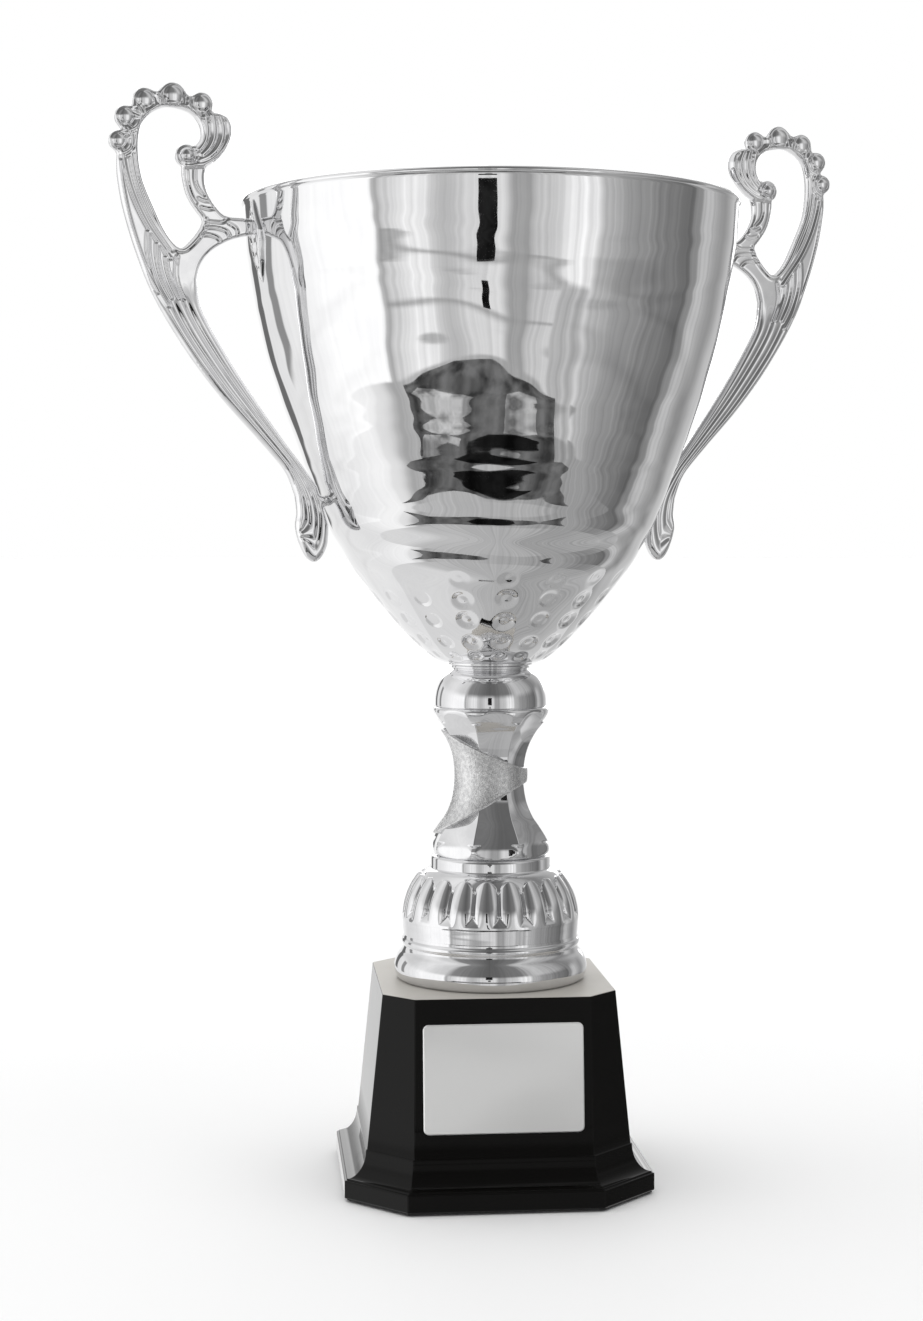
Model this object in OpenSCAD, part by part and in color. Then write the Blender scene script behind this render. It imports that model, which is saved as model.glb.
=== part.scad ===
// Two-handled presentation cup on a hollow weighted plinth.
// Millimetres, +Z up. The origin is on the surface it stands on, on the cup's axis.
// The name plate faces -Y. Every piece is threaded on, screwed to or glued to the next one.

/* [Bowl] */
// Diameter over the rolled rim
rim_d = 200; // [190:2:210]
// Height of the rim above the bowl's seat
bowl_h = 184.5; // [180:0.5:190]
// Thickness of the spun sheet
sheet_t = 0.8; // [0.6:0.1:1.2]
// Thickness of the roll at the rim
roll_d = 2.4; // [2:0.2:3]

/* [Handles] */
// Turn of the pair of handles from the plinth's sides, in degrees
handle_turn = 16.5; // [-30:0.5:30]
// Thickness of the cast limb
limb_t = 5; // [4:0.5:7]
// Thickness of the cast beads and of the volute
bead_t = 8; // [6:0.5:9]
// Reach of the scroll's centre beyond the rim
scroll_reach = 32.5; // [30:0.5:35]
// Width of the foot that lies on the bowl
foot_pad_w = 13; // [10:1:16]

/* [Stem] */
// Diameter of the knop at its seam
knop_d = 45.2; // [42:0.2:48]
// Diameter of the column at its waist
waist_d = 27.8; // [24:0.2:32]
// Diameter of the column at its foot
column_foot_d = 49; // [46:0.5:51]
// Diameter of the fluted dome
dome_d = 72; // [70:0.5:74]
// Diameter of the flange that sits on the plinth
flange_d = 78.8; // [76:0.2:82]
// Number of flutes round the dome
flute_count = 20; // [16:1:24]
// Thickness of the frosted sash
sash_t = 0.7; // [0.5:0.1:1]
// Direction of the sash's knot, in degrees from +X
knot_turn = -10.4; // [-90:0.1:90]

/* [Plinth] */
// Height of the plinth
plinth_h = 81; // [78:1:86]
// Width over the foot slab
slab_w = 123.2; // [120:0.2:130]
// Width of the plinth's top
top_w = 92.6; // [90:0.2:96]
// Thickness of the moulding's wall
wall = 3; // [2.5:0.5:4]
// Diameter of the ballast
weight_d = 74; // [60:1:80]
// Height of the ballast
weight_h = 26; // [15:1:30]

/* [Plate] */
// Width of the engraving plate
plate_w = 63; // [50:1:66]
// Height of the engraving plate
plate_h = 42.5; // [35:0.5:46]
// Thickness of the engraving plate
plate_t = 0.8; // [0.5:0.1:1.2]

/* [Fasteners] */
// Thread diameter of the tie rod
rod_d = 6; // [5:0.5:8]
// Thread diameter of the handle screws
screw_d = 4; // [3:0.5:4]

/* [Hidden] */
$fn = 96;
big = 400;            // reach of the cutting blocks
snug = 0.05;          // radial room round a thread
clear = 0.35;         // radial room round a shank that passes through
tiny = 0.01;          // overlap that lets a cut break through a face

// Heights of the stack, from the surface up
foot_h = 50.3;
column_h = 60.5;
knop_h = 17;
seat_h = 1;
foot_z = plinth_h;
column_z = foot_z + foot_h;
knop_z = column_z + column_h;
seat_z = knop_z + knop_h;
bowl_z = seat_z + seat_h;
rim_z = bowl_z + bowl_h;
rim_r = rim_d / 2;

// ---------- curves ----------

// Cubic Bezier through four control points
function bezier(p, n = 12) = [for (i = [0:n]) let (t = i / n, s = 1 - t)
    s * s * s * p[0] + 3 * s * s * t * p[1] + 3 * s * t * t * p[2] + t * t * t * p[3]];

// Point of a Catmull-Rom span from b to c
function span_point(a, b, c, d, t) = 0.5 * (2 * b + (c - a) * t
    + (2 * a - 5 * b + 4 * c - d) * t * t + (3 * b - a - 3 * c + d) * t * t * t);

// Smooth line through every point of p, open at both ends
function smooth(p, n = 4) = let (last = len(p) - 1) concat(
    [for (i = [0:last - 1], k = [0:n - 1])
        span_point(p[max(i - 1, 0)], p[i], p[i + 1], p[min(i + 2, last)], k / n)],
    [p[last]]);

// Smooth closed line through every point of p
function smooth_ring(p, n = 4) = let (m = len(p)) [for (i = [0:m - 1], k = [0:n - 1])
    span_point(p[(i + m - 1) % m], p[i], p[(i + 1) % m], p[(i + 2) % m], k / n)];

// Arc from angle a to angle b
function arc(centre, r, a, b, n = 12) = [for (i = [0:n]) let (t = a + (b - a) * i / n)
    centre + r * [cos(t), sin(t)]];

function reversed(p) = [for (i = [len(p) - 1:-1:0]) p[i]];
function unit(v) = v / norm(v);

// Open line moved sideways by d: to the right of its direction where d is positive
function moved(p, d) = let (last = len(p) - 1) [for (i = [0:last])
    let (v = unit(p[min(i + 1, last)] - p[max(i - 1, 0)])) p[i] + d * [v.y, -v.x]];

module turned(outline) {
    rotate_extrude() polygon(outline);
}

// ---------- bowl ----------

seat_r = 19;
shoulder_in = 33.7;   // from the rim in to the shoulder
shoulder_up = 56;     // from the seat up to the shoulder
shoulder = [rim_r - shoulder_in, bowl_z + shoulder_up];
roll_r = roll_d / 2;
roll_at = [rim_r - roll_r, rim_z - roll_r];
lip_in = 0.6;         // from the rim's edge in to the wall below the roll
lip = [rim_r - lip_in, roll_at.y - roll_r * 0.8];
hub_r = rod_d / 2 + clear;

// Outer wall, from the edge of the seat up to the rolled rim
function bowl_wall() = concat(
    bezier([[seat_r, bowl_z], [seat_r + 11.7, bowl_z + 3.8],
            shoulder - [5, 13], shoulder], 12),
    [for (i = [1:14]) bezier([shoulder, shoulder + [12.6, 32.4], lip - [2.1, 47.5], lip], 14)[i]]);

wall_line = bowl_wall();
wall_by_height = [for (p = wall_line) [p.y, p.x]];
function wall_r(z) = lookup(z, wall_by_height);
function wall_tilt(z) = atan((wall_r(z + 2) - wall_r(z - 2)) / 4);

// Everything inside the bowl's outer face, which the handles are cut back to
module bowl_envelope(extra = 0) {
    outer = moved(wall_line, extra);
    turned(concat([[0, bowl_z - extra]], outer, [[0, outer[len(outer) - 1].y]]));
}

// Stands its children on the outside of the bowl at height z, with +Z out of the wall
module at_wall(z) {
    translate([wall_r(z), 0, z]) rotate([0, 90 + wall_tilt(z), 0]) children();
}

module on_both_sides() {
    for (side = [0, 180]) rotate(handle_turn + side) children();
}

// Heights of the two screws of each handle
upper_screw_drop = 13.5;
lower_screw_rise = 65;
screw_heights = [rim_z - upper_screw_drop, bowl_z + lower_screw_rise];
wall_cut = 3;         // reach of a hole's cut to either side of the bowl's skin

module cup_bowl() {
    inner_wall = [for (p = reversed(moved(wall_line, -sheet_t))) if (p.y > bowl_z + sheet_t + 0.2) p];
    color("silver") difference() {
        turned(concat([[hub_r, bowl_z]], wall_line, arc(roll_at, roll_r, -45, 222, 14), inner_wall,
            [[seat_r - 1, bowl_z + sheet_t], [hub_r, bowl_z + sheet_t]]));
        on_both_sides() for (z = screw_heights)
            at_wall(z) translate([0, 0, -wall_cut])
                cylinder(d = screw_d + 2 * clear, h = 2 * wall_cut);
    }
}

// ---------- handles ----------

// The scroll's round crest; the handle's outline is drawn from its centre
crest_up = 17.2;
crest = [rim_r + scroll_reach, rim_z + crest_up];
crest_out = 18.6;
// Beads on the crest: angle, distance from its centre, radius
beads = [[-4, 20, 3.9], [24, 18.8, 4.3], [56, 17.4, 4.7], [94, 16.7, 5.2], [131, 19, 4.5]];
volute = crest + [-6.5, -5.7];
volute_r = 4.65;

// Each stretch of the outline is given from the crest's centre
arm_top = [[-45, -25], [-33.5, -27.8], [-27, -27.9], [-21, -27.2], [-16.4, -22.4],
           [-14, -17.5], [-13.5, -13], [-14.2, -9.6]];
shell_edge = [[-14.2, -9.6], [-18, -7], [-21.8, -2.8], [-24.1, 1.6], [-24.5, 6],
              [-22.8, 9.8], [-19, 11.5]];
limb_outside = [[19.4, -2], [20.9, -8], [20.5, -16], [18.2, -28], [13.4, -43.5], [6.2, -60.5],
                [-6.6, -80.8], [-20.1, -97.8], [-35.5, -114.2], [-45.3, -125.5], [-49.3, -135]];
tail_edge = [[-49.3, -135], [-50, -141.5], [-49.4, -147], [-51.2, -154], [-54, -159.2],
             [-57.2, -161], [-60.2, -159], [-62.4, -154.7], [-63, -150.5], [-63.2, -146]];
limb_inside = [[-58.5, -131], [-51.4, -121.7], [-46, -115], [-34.9, -100], [-24.1, -84.3],
               [-14.3, -68], [-11.2, -60.5], [-10.2, -52.5]];
arm_under = [[-10.2, -52.5], [-11.8, -46.7], [-15, -42.3], [-19.5, -39], [-25.5, -36.3],
             [-33.5, -35], [-45, -38]];
loop_edge = [[-10, -1.2], [-11.6, 0.8], [-12, 4], [-11, 7.3], [-8, 10.3], [-2.5, 11.9],
             [2.5, 11.7], [7.3, 9.4], [10.6, 5.6], [12, 0], [12.1, -6.5], [11.1, -13.5],
             [9.3, -19], [6.3, -25.7], [3, -32.7], [-0.3, -37.7], [-3.5, -40.3],
             [-6.5, -38.6], [-10.7, -33.7], [-12.3, -29.7], [-10.7, -27.3], [-7.7, -23.2],
             [-5.6, -18.5], [-4.3, -11], [-5.2, -6], [-8, -2.2]];

function from_crest(p) = [for (q = p) q + crest];

module limb_outline() {
    difference() {
        union() {
            polygon(concat(smooth(from_crest(arm_top)), smooth(from_crest(shell_edge)),
                arc(crest, crest_out, 142, -6, 24), smooth(from_crest(limb_outside)),
                smooth(from_crest(tail_edge)), smooth(from_crest(limb_inside)),
                smooth(from_crest(arm_under))));
            translate(volute) circle(r = volute_r);
        }
        polygon(smooth_ring(from_crest(loop_edge)));
    }
}

// Round boss with domed faces, standing across the handle's plane
module button(centre, r) {
    dome = 0.3 * r;
    flat_t = bead_t / 2 - dome;
    face = [for (a = [0:15:90]) [r * cos(a), flat_t + dome * sin(a)]];
    translate([centre.x, 0, centre.y]) rotate([90, 0, 0])
        turned(concat([[0, -flat_t - dome]], [for (p = reversed(face)) if (p.x > tiny) [p.x, -p.y]],
            [for (p = face) if (p.x > tiny) p], [[0, flat_t + dome]]));
}

boss_wall = 1;        // metal round a boss, beyond the limb's own thickness
boss_h = 12;
boss_sink = 2;        // start of a boss inside the bowl's skin, cut away again

// Leaf-shaped pad where the upper arm lies on the bowl
module foot_pad() {
    pad_t = 2;
    pad_up = 8.5;
    pad_down = 19;
    half = foot_pad_w / 2;
    outline = smooth_ring([[0, pad_up], [half * 0.45, 4], [half, -6.5], [half * 0.8, -11],
        [0, -pad_down - 3], [-half * 0.8, -11], [-half, -6.5], [-half * 0.45, 4]]);
    intersection() {
        bowl_envelope(pad_t);
        translate([0, 0, screw_heights[0]]) rotate([90, 0, 90])
            linear_extrude(rim_r + 5) polygon(outline);
    }
}

module handle() {
    difference() {
        union() {
            rotate([90, 0, 0]) linear_extrude(limb_t, center = true) limb_outline();
            for (b = beads) button(crest + b[1] * [cos(b[0]), sin(b[0])], b[2]);
            button(volute, volute_r);
            foot_pad();
            for (z = screw_heights) at_wall(z) translate([0, 0, -boss_sink])
                cylinder(d = limb_t + 2 * boss_wall, h = boss_h);
        }
        bowl_envelope();
        for (z = screw_heights) at_wall(z) translate([0, 0, -wall_cut]) cylinder(d = screw_d, h = boss_h);
    }
}

module handle_left() {
    color("gainsboro") rotate(handle_turn + 180) handle();
}

module handle_right() {
    color("gainsboro") rotate(handle_turn) handle();
}

// ---------- handle fasteners ----------

fibre_t = 1;
head_h = 2.4;
head_d = 1.9 * screw_d;
slot_w = 0.8;         // width of the cross in a screw's head
slot_deep = 1.2;
thread_in = 8;        // length of thread in the casting

seat_gap = 0.2;       // room for the wall's curve behind a flat washer
under_head = -sheet_t - seat_gap - fibre_t;

module pan_screw() {
    difference() {
        union() {
            translate([0, 0, under_head - head_h]) cylinder(d1 = head_d * 0.8, d2 = head_d, h = head_h);
            translate([0, 0, under_head - tiny])
                cylinder(d = screw_d - 2 * snug, h = thread_in - under_head + tiny);
        }
        for (a = [0, 90]) rotate(a) translate([-head_d / 3, -slot_w / 2, under_head - head_h - tiny])
            cube([head_d / 1.5, slot_w, slot_deep]);
    }
}

module handle_screws() {
    color("lightsteelblue") on_both_sides() for (z = screw_heights) at_wall(z) pan_screw();
}

module handle_washers() {
    color("firebrick") on_both_sides() for (z = screw_heights)
        at_wall(z) flat_ring(under_head, 2.6 * screw_d, fibre_t, screw_d + 2 * snug);
}

// ---------- tie rod and its fasteners ----------

nut_af = 1.7 * rod_d;
nut_h = 0.85 * rod_d;
bowl_washer_d = 30;
bowl_washer_t = 1.5;
washer_t = 1.5;
spring_t = 1.6;
weight_top = plinth_h - wall;
weight_z = weight_top - weight_h;
washer_z = weight_z - washer_t;
spring_z = washer_z - spring_t;
low_nut_z = spring_z - nut_h;
top_nut_z = bowl_z + sheet_t + bowl_washer_t;
thread_below = 4;     // thread left showing under the lower nut
thread_above = 3;     // thread left showing over the upper nut
rod_low = low_nut_z - thread_below;
rod_high = top_nut_z + nut_h + thread_above;
split_w = 1.6;        // gap in the spring washer

module hex_nut(z) {
    translate([0, 0, z]) difference() {
        intersection() {
            cylinder(d = nut_af / cos(30), h = nut_h, $fn = 6);
            turned([[0, 0], [nut_af * 0.5, 0], [nut_af * 0.6, nut_h * 0.14],
                    [nut_af * 0.6, nut_h * 0.86], [nut_af * 0.5, nut_h], [0, nut_h]]);
        }
        translate([0, 0, -1]) cylinder(d = rod_d + 2 * snug, h = nut_h + 2);
    }
}

module flat_ring(z, d, h, bore) {
    translate([0, 0, z]) difference() {
        cylinder(d = d, h = h);
        translate([0, 0, -1]) cylinder(d = bore, h = h + 2);
    }
}

module tie_rod() {
    tip = 0.6;
    color("silver") turned([[0, rod_low], [rod_d / 2 - tip, rod_low], [rod_d / 2, rod_low + tip],
        [rod_d / 2, rod_high - tip], [rod_d / 2 - tip, rod_high], [0, rod_high]]);
}

module bowl_washer() {
    color("silver")
        flat_ring(bowl_z + sheet_t, bowl_washer_d, bowl_washer_t, rod_d + 2 * clear);
}

module rod_top_nut() {
    color("silver") hex_nut(top_nut_z);
}

module rod_washer() {
    color("silver") flat_ring(washer_z, 3 * rod_d, washer_t, rod_d + 2 * clear);
}

// Split ring, with its cut at the back
module rod_spring_washer() {
    color("dimgray") difference() {
        flat_ring(spring_z, 2 * rod_d, spring_t, rod_d + 2 * clear);
        translate([-split_w / 2, 0, spring_z - 1]) cube([split_w, 2 * rod_d, spring_t + 2]);
    }
}

module rod_bottom_nut() {
    color("silver") hex_nut(low_nut_z);
}

// ---------- stem ----------

seat_d = 31;
seat_lip = 1.5;       // reach of the disc beyond the knop's neck

module seat_ring() {
    color("silver") flat_ring(seat_z, seat_d + 2 * seat_lip, seat_h, rod_d + 2 * clear);
}

// Plated plastic mouldings are hollow, with a web that centres them on the rod
web_t = 3;
stem_bore = rod_d + 2 * clear;

module stem_knop() {
    r = knop_d / 2;
    dome = bezier([[r, 0], [r + 0.3, 7.4], [r - 3, 12.2], [r - 6.1, 14.2]], 10);
    skin = concat(dome, [[seat_d / 2, 14.2 + 1.2], [seat_d / 2, knop_h]]);
    color("gainsboro") translate([0, 0, knop_z]) difference() {
        turned(concat([[0, 0]], skin, [[0, knop_h]]));
        turned([[0, -1], [r - web_t, -1], [r - web_t, 6], [r - web_t - 6, 13], [0, 13]]);
        cylinder(d = stem_bore, h = knop_h + 1);
    }
}

collar_d = knop_d + 2;

// Outer edge of the column, from its foot up to the flared collar
function column_edge() = let (w = waist_d / 2, f = column_foot_d / 2, c = collar_d / 2) concat(
    smooth([[f - 0.9, 0], [f, 3.6], [f - 2.2, 9], [w + 3.8, 15.8], [w + 1.2, 22.5],
            [w, 30], [w + 0.3, 36], [w + 2.1, 43], [w + 5, 50.7], [c - 1.6, 54.6]], 4),
    [[c, 58.2], [c - 0.1, 59.4], [c - 0.9, column_h]]);

module stem_column() {
    cavity_r = waist_d / 2 - web_t;
    color("gainsboro") translate([0, 0, column_z]) difference() {
        turned(concat([[0, 0]], column_edge(), [[0, column_h]]));
        translate([0, 0, -1]) cylinder(r = cavity_r, h = column_h - web_t + 1);
        cylinder(d = stem_bore, h = column_h + 1);
    }
}

// Tilted planes that bound the sash: height on the axis, fall per unit towards the knot
sash_top = [column_z + 42.2, 0.41];
sash_bottom = [column_z + 21.3, -0.51];

module below_plane(plane) {
    translate([0, 0, plane[0]]) rotate([0, atan(plane[1]), 0])
        translate([-big / 2, -big / 2, -big]) cube(big);
}

module stem_sash() {
    edge = column_edge();
    color("whitesmoke") difference() {
        intersection() {
            translate([0, 0, column_z]) turned(concat([[0, 0]], moved(edge, sash_t), [[0, column_h]]));
            rotate(knot_turn) below_plane(sash_top);
        }
        rotate(knot_turn) below_plane(sash_bottom);
        translate([0, 0, column_z - 1]) cylinder(r = waist_d / 4, h = column_h + 2);
        translate([0, 0, column_z]) turned(concat([[0, 0]], edge, [[0, column_h]]));
    }
}

// The dome's meridian is an arc about this point, above the flange
dome_at = [7.8, 24.5];
dome_arc_r = dome_d / 2 - dome_at.x;

// Flute: the part of an upright ring that stands out of the dome
module flute() {
    bar_r = 5;
    bend = 7;
    tilt = 22;
    reach = dome_arc_r - bar_r - bend + 0.6;
    translate([dome_at.x + reach * cos(tilt), 0, dome_at.y + reach * sin(tilt)])
        rotate([90, 0, 0]) rotate_extrude() translate([bend, 0]) circle(r = bar_r);
}

module stem_foot() {
    r = dome_d / 2;
    f = flange_d / 2;
    neck = column_foot_d / 2 - 0.2;
    edge = concat([[f - 1, 0], [f - 0.1, 2.4]], arc([f - 3.2, 6], 3.2, -36, 40, 6),
        [[r + 0.3, 12], [r - 0.5, 14.6], [r - 0.4, 16.6], [r + 0.2, 18.3], [r + 0.1, 20.3], [r - 0.7, 22]],
        arc(dome_at, dome_arc_r - 0.9, 0, 43, 12),
        [[neck, 44.5], [neck, 49.3], [neck - 0.8, foot_h]]);
    color("gainsboro") translate([0, 0, foot_z]) difference() {
        union() {
            turned(concat([[0, 0]], edge, [[0, foot_h]]));
            for (i = [0:flute_count - 1]) rotate((i + 0.5) * 360 / flute_count) flute();
        }
        turned([[0, -1], [r - 6, -1], [r - 6, 16], [r - 7.5, 26], [neck - 5, 40], [neck - 5, foot_h - web_t],
                [0, foot_h - web_t]]);
        cylinder(d = stem_bore, h = foot_h + 1);
    }
}

// ---------- plinth ----------

// Eight corners of a square with its corners cut off
function octagon(half, cut) = [for (q = [0:3]) for (s = [0, 1])
    let (p = s == 0 ? [half, -half + cut] : [half, half - cut])
    [p.x * cos(90 * q) - p.y * sin(90 * q), p.x * sin(90 * q) + p.y * cos(90 * q)]];

// Closed solid through octagons given as [height, half width, corner cut]
module octagon_stack(rings) {
    n = 8;
    top = len(rings) - 1;
    points = [for (g = rings) for (p = octagon(g[1], g[2])) [p.x, p.y, g[0]]];
    sides = [for (k = [0:top - 1], i = [0:n - 1]) let (j = (i + 1) % n)
        [k * n + i, (k + 1) * n + i, (k + 1) * n + j, k * n + j]];
    polyhedron(points, concat([[for (i = [0:n - 1]) i]], sides,
        [[for (i = [n - 1:-1:0]) top * n + i]]));
}

felt_t = 1;
felt_inset = 1;
slab_z = 8.1;         // top of the foot slab
cove_top = 19.5;      // top of the hollow moulding
body_flare = 6.2;     // lean of each face between the top and the cove
base_half = top_w / 2 + body_flare;
slab_half = slab_w / 2;
slab_cut = 23.2;
base_cut = 17.4;
top_cut = 11.8;
ledge = 0.7;          // step between the slab and the cove
round_t = 0.6;        // softened top edge of the body

function cove(n = 8) = [for (i = [0:n]) let (a = 90 * i / n,
    out = (slab_half - ledge - base_half) * (1 - sin(a)), up = (cove_top - slab_z - ledge) * (1 - cos(a)))
    [slab_z + ledge + up, base_half + out, base_cut + (slab_cut - base_cut) * (1 - sin(a))]];

module plinth_shell() {
    lean = body_flare / (plinth_h - cove_top);
    inner_cut = base_cut - wall;
    color("black") difference() {
        octagon_stack(concat([[felt_t, slab_half, slab_cut], [slab_z - ledge, slab_half, slab_cut],
            [slab_z, slab_half - ledge, slab_cut - 0.3]], cove(),
            [[plinth_h - round_t, top_w / 2, top_cut], [plinth_h, top_w / 2 - round_t, top_cut - 0.2]]));
        octagon_stack([[-1, base_half - wall, inner_cut], [cove_top, base_half - wall, inner_cut],
            [plinth_h - wall, base_half - wall - lean * (plinth_h - cove_top - wall), top_cut - 1]]);
        translate([0, 0, plinth_h - wall - 1]) cylinder(d = stem_bore, h = wall + 2);
    }
}

module plinth_weight() {
    color("dimgray") flat_ring(weight_z, weight_d, weight_h, rod_d + 2 * clear + 1);
}

module base_felt() {
    color("darkgreen") linear_extrude(felt_t)
        polygon(octagon(slab_half - felt_inset, slab_cut - felt_inset));
}

// ---------- name plate ----------

tape_t = 0.3;
tape_inset = 1.5;
plate_z = 50;         // height of the plate's middle
plate_corner = 2.2;
tape_corner = 1;
face_lean = atan(body_flare / (plinth_h - round_t - cove_top));
face_y = base_half - (plate_z - cove_top) * tan(face_lean);

module rounded_plate(w, h, r, t) {
    linear_extrude(t) difference() {
        square([w, h], center = true);
        for (x = [-1, 1], y = [-1, 1]) translate([x * (w / 2 - r), y * (h / 2 - r)]) difference() {
            translate([x < 0 ? -r - 1 : 0, y < 0 ? -r - 1 : 0]) square(r + 1);
            circle(r = r);
        }
    }
}

// Puts its children on the plinth's leaning front face, with +Z out of it
module on_front_face() {
    translate([0, -face_y, plate_z]) rotate([90 - face_lean, 0, 0]) children();
}

module name_plate() {
    color("lightgray") on_front_face() translate([0, 0, tape_t])
        rounded_plate(plate_w, plate_h, plate_corner, plate_t);
}

module plate_tape() {
    color("white") on_front_face()
        rounded_plate(plate_w - 2 * tape_inset, plate_h - 2 * tape_inset, tape_corner, tape_t);
}

cup_bowl();
handle_left();
handle_right();
handle_screws();
handle_washers();
bowl_washer();
rod_top_nut();
tie_rod();
seat_ring();
stem_knop();
stem_column();
stem_sash();
stem_foot();
plinth_shell();
plinth_weight();
rod_washer();
rod_spring_washer();
rod_bottom_nut();
name_plate();
plate_tape();
base_felt();
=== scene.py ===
import math
import bpy
import numpy as np
from mathutils import Matrix, Vector

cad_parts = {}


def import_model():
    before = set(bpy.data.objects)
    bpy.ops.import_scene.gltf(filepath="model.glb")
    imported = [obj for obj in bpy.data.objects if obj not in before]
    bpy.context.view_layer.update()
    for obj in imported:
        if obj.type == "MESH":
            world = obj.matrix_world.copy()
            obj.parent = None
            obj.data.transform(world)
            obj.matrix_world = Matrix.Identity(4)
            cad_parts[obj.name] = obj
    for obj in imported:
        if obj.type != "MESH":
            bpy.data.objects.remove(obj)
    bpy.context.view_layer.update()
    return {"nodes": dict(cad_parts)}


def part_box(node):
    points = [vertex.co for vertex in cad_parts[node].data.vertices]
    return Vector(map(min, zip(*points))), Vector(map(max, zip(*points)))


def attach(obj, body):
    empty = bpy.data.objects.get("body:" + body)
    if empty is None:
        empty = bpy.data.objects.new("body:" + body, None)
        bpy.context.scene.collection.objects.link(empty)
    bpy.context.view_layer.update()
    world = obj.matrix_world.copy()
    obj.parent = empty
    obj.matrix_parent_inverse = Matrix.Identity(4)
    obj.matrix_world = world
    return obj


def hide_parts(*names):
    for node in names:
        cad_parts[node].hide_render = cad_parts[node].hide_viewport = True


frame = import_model()

MM = 0.001
TAU = 2 * math.pi


def node_box(name):
    """Lowest and highest corner of a CAD node, in millimetres."""
    low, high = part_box(name)
    return np.array(low) / MM, np.array(high) / MM


# Places and radii read from the frame, in millimetres
BOWL_LOW, BOWL_HIGH = node_box("cup_bowl")
RIM_R = BOWL_HIGH[0]
RIM_Z = BOWL_HIGH[2]
SEAT_Z = BOWL_LOW[2]
KNOP_LOW, KNOP_HIGH = node_box("stem_knop")
COLUMN_LOW, COLUMN_HIGH = node_box("stem_column")
FOOT_LOW, FOOT_HIGH = node_box("stem_foot")
PLINTH_LOW, PLINTH_HIGH = node_box("plinth_shell")
FELT_LOW, FELT_HIGH = node_box("base_felt")
ROD_LOW, ROD_HIGH = node_box("tie_rod")
HANDLE_TURN = math.radians(16.5)
KNOT_TURN = math.radians(-10.4)

# Sizes that several pieces share
HUB_R = 3.35
PLASTIC_T = 3.0


# ---------------------------------------------------------------- meshes


def make_piece(name, points, faces, material, node):
    """A smooth mesh from points in millimetres. It stands for a CAD node and rides on the root."""
    mesh = bpy.data.meshes.new(name)
    mesh.from_pydata((np.asarray(points) * MM).tolist(), [], faces)
    mesh.validate()
    mesh.polygons.foreach_set("use_smooth", [True] * len(mesh.polygons))
    mesh.update()
    piece = bpy.data.objects.new(name, mesh)
    bpy.context.scene.collection.objects.link(piece)
    mesh.materials.append(material)
    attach(piece, "root")
    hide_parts(node)
    return piece


def grid_faces(rows, columns, wrap_rows=False):
    """Quads of a grid that closes on itself across its columns, and across its rows if asked."""
    r = np.arange(rows if wrap_rows else rows - 1)[:, None]
    c = np.arange(columns)[None, :]
    r2 = (r + 1) % rows
    c2 = (c + 1) % columns
    quads = np.stack([r * columns + c, r * columns + c2, r2 * columns + c2, r2 * columns + c], -1)
    return quads.reshape(-1, 4).tolist()


def around(radius, height, angle):
    """Points of a surface given as radius and height over angle, all as rows by columns."""
    return np.stack([radius * np.cos(angle), radius * np.sin(angle), height + 0 * angle], -1).reshape(-1, 3)


def arc(x, z, wide, high, degrees):
    """Points of an ellipse about (x, z) at the given angles."""
    return [(x + wide * math.cos(a), z + high * math.sin(a)) for a in np.radians(degrees)]


def bezier(control, count):
    t = np.linspace(0, 1, count + 1)[:, None]
    s = 1 - t
    a, b, c, d = (np.array(p, float) for p in control)
    return s**3 * a + 3 * s * s * t * b + 3 * s * t * t * c + t**3 * d


def spline(points, per_span=6):
    """Catmull-Rom line through the points."""
    p = np.array(points, float)
    last = len(p) - 1
    out = []
    for i in range(last):
        a, b, c, d = p[max(i - 1, 0)], p[i], p[i + 1], p[min(i + 2, last)]
        t = np.arange(per_span)[:, None] / per_span
        out.append(0.5 * (2 * b + (c - a) * t + (2 * a - 5 * b + 4 * c - d) * t * t
                          + (3 * b - a - 3 * c + d) * t**3))
    return np.vstack(out + [p[last:]])


def lengths_along(line):
    """Distance from the start of the line to each of its points."""
    return np.concatenate([[0], np.cumsum(np.linalg.norm(np.diff(line, axis=0), axis=1))])


def even(line, step):
    """The same line with points every step."""
    lengths = lengths_along(line)
    at = np.linspace(0, lengths[-1], max(2, int(round(lengths[-1] / step)) + 1))
    return np.stack([np.interp(at, lengths, line[:, k]) for k in (0, 1)], -1)


def smooth_step(x, low, high):
    t = np.clip((x - low) / (high - low), 0, 1)
    return t * t * (3 - 2 * t)


# ---------------------------------------------------------------- materials


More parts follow.
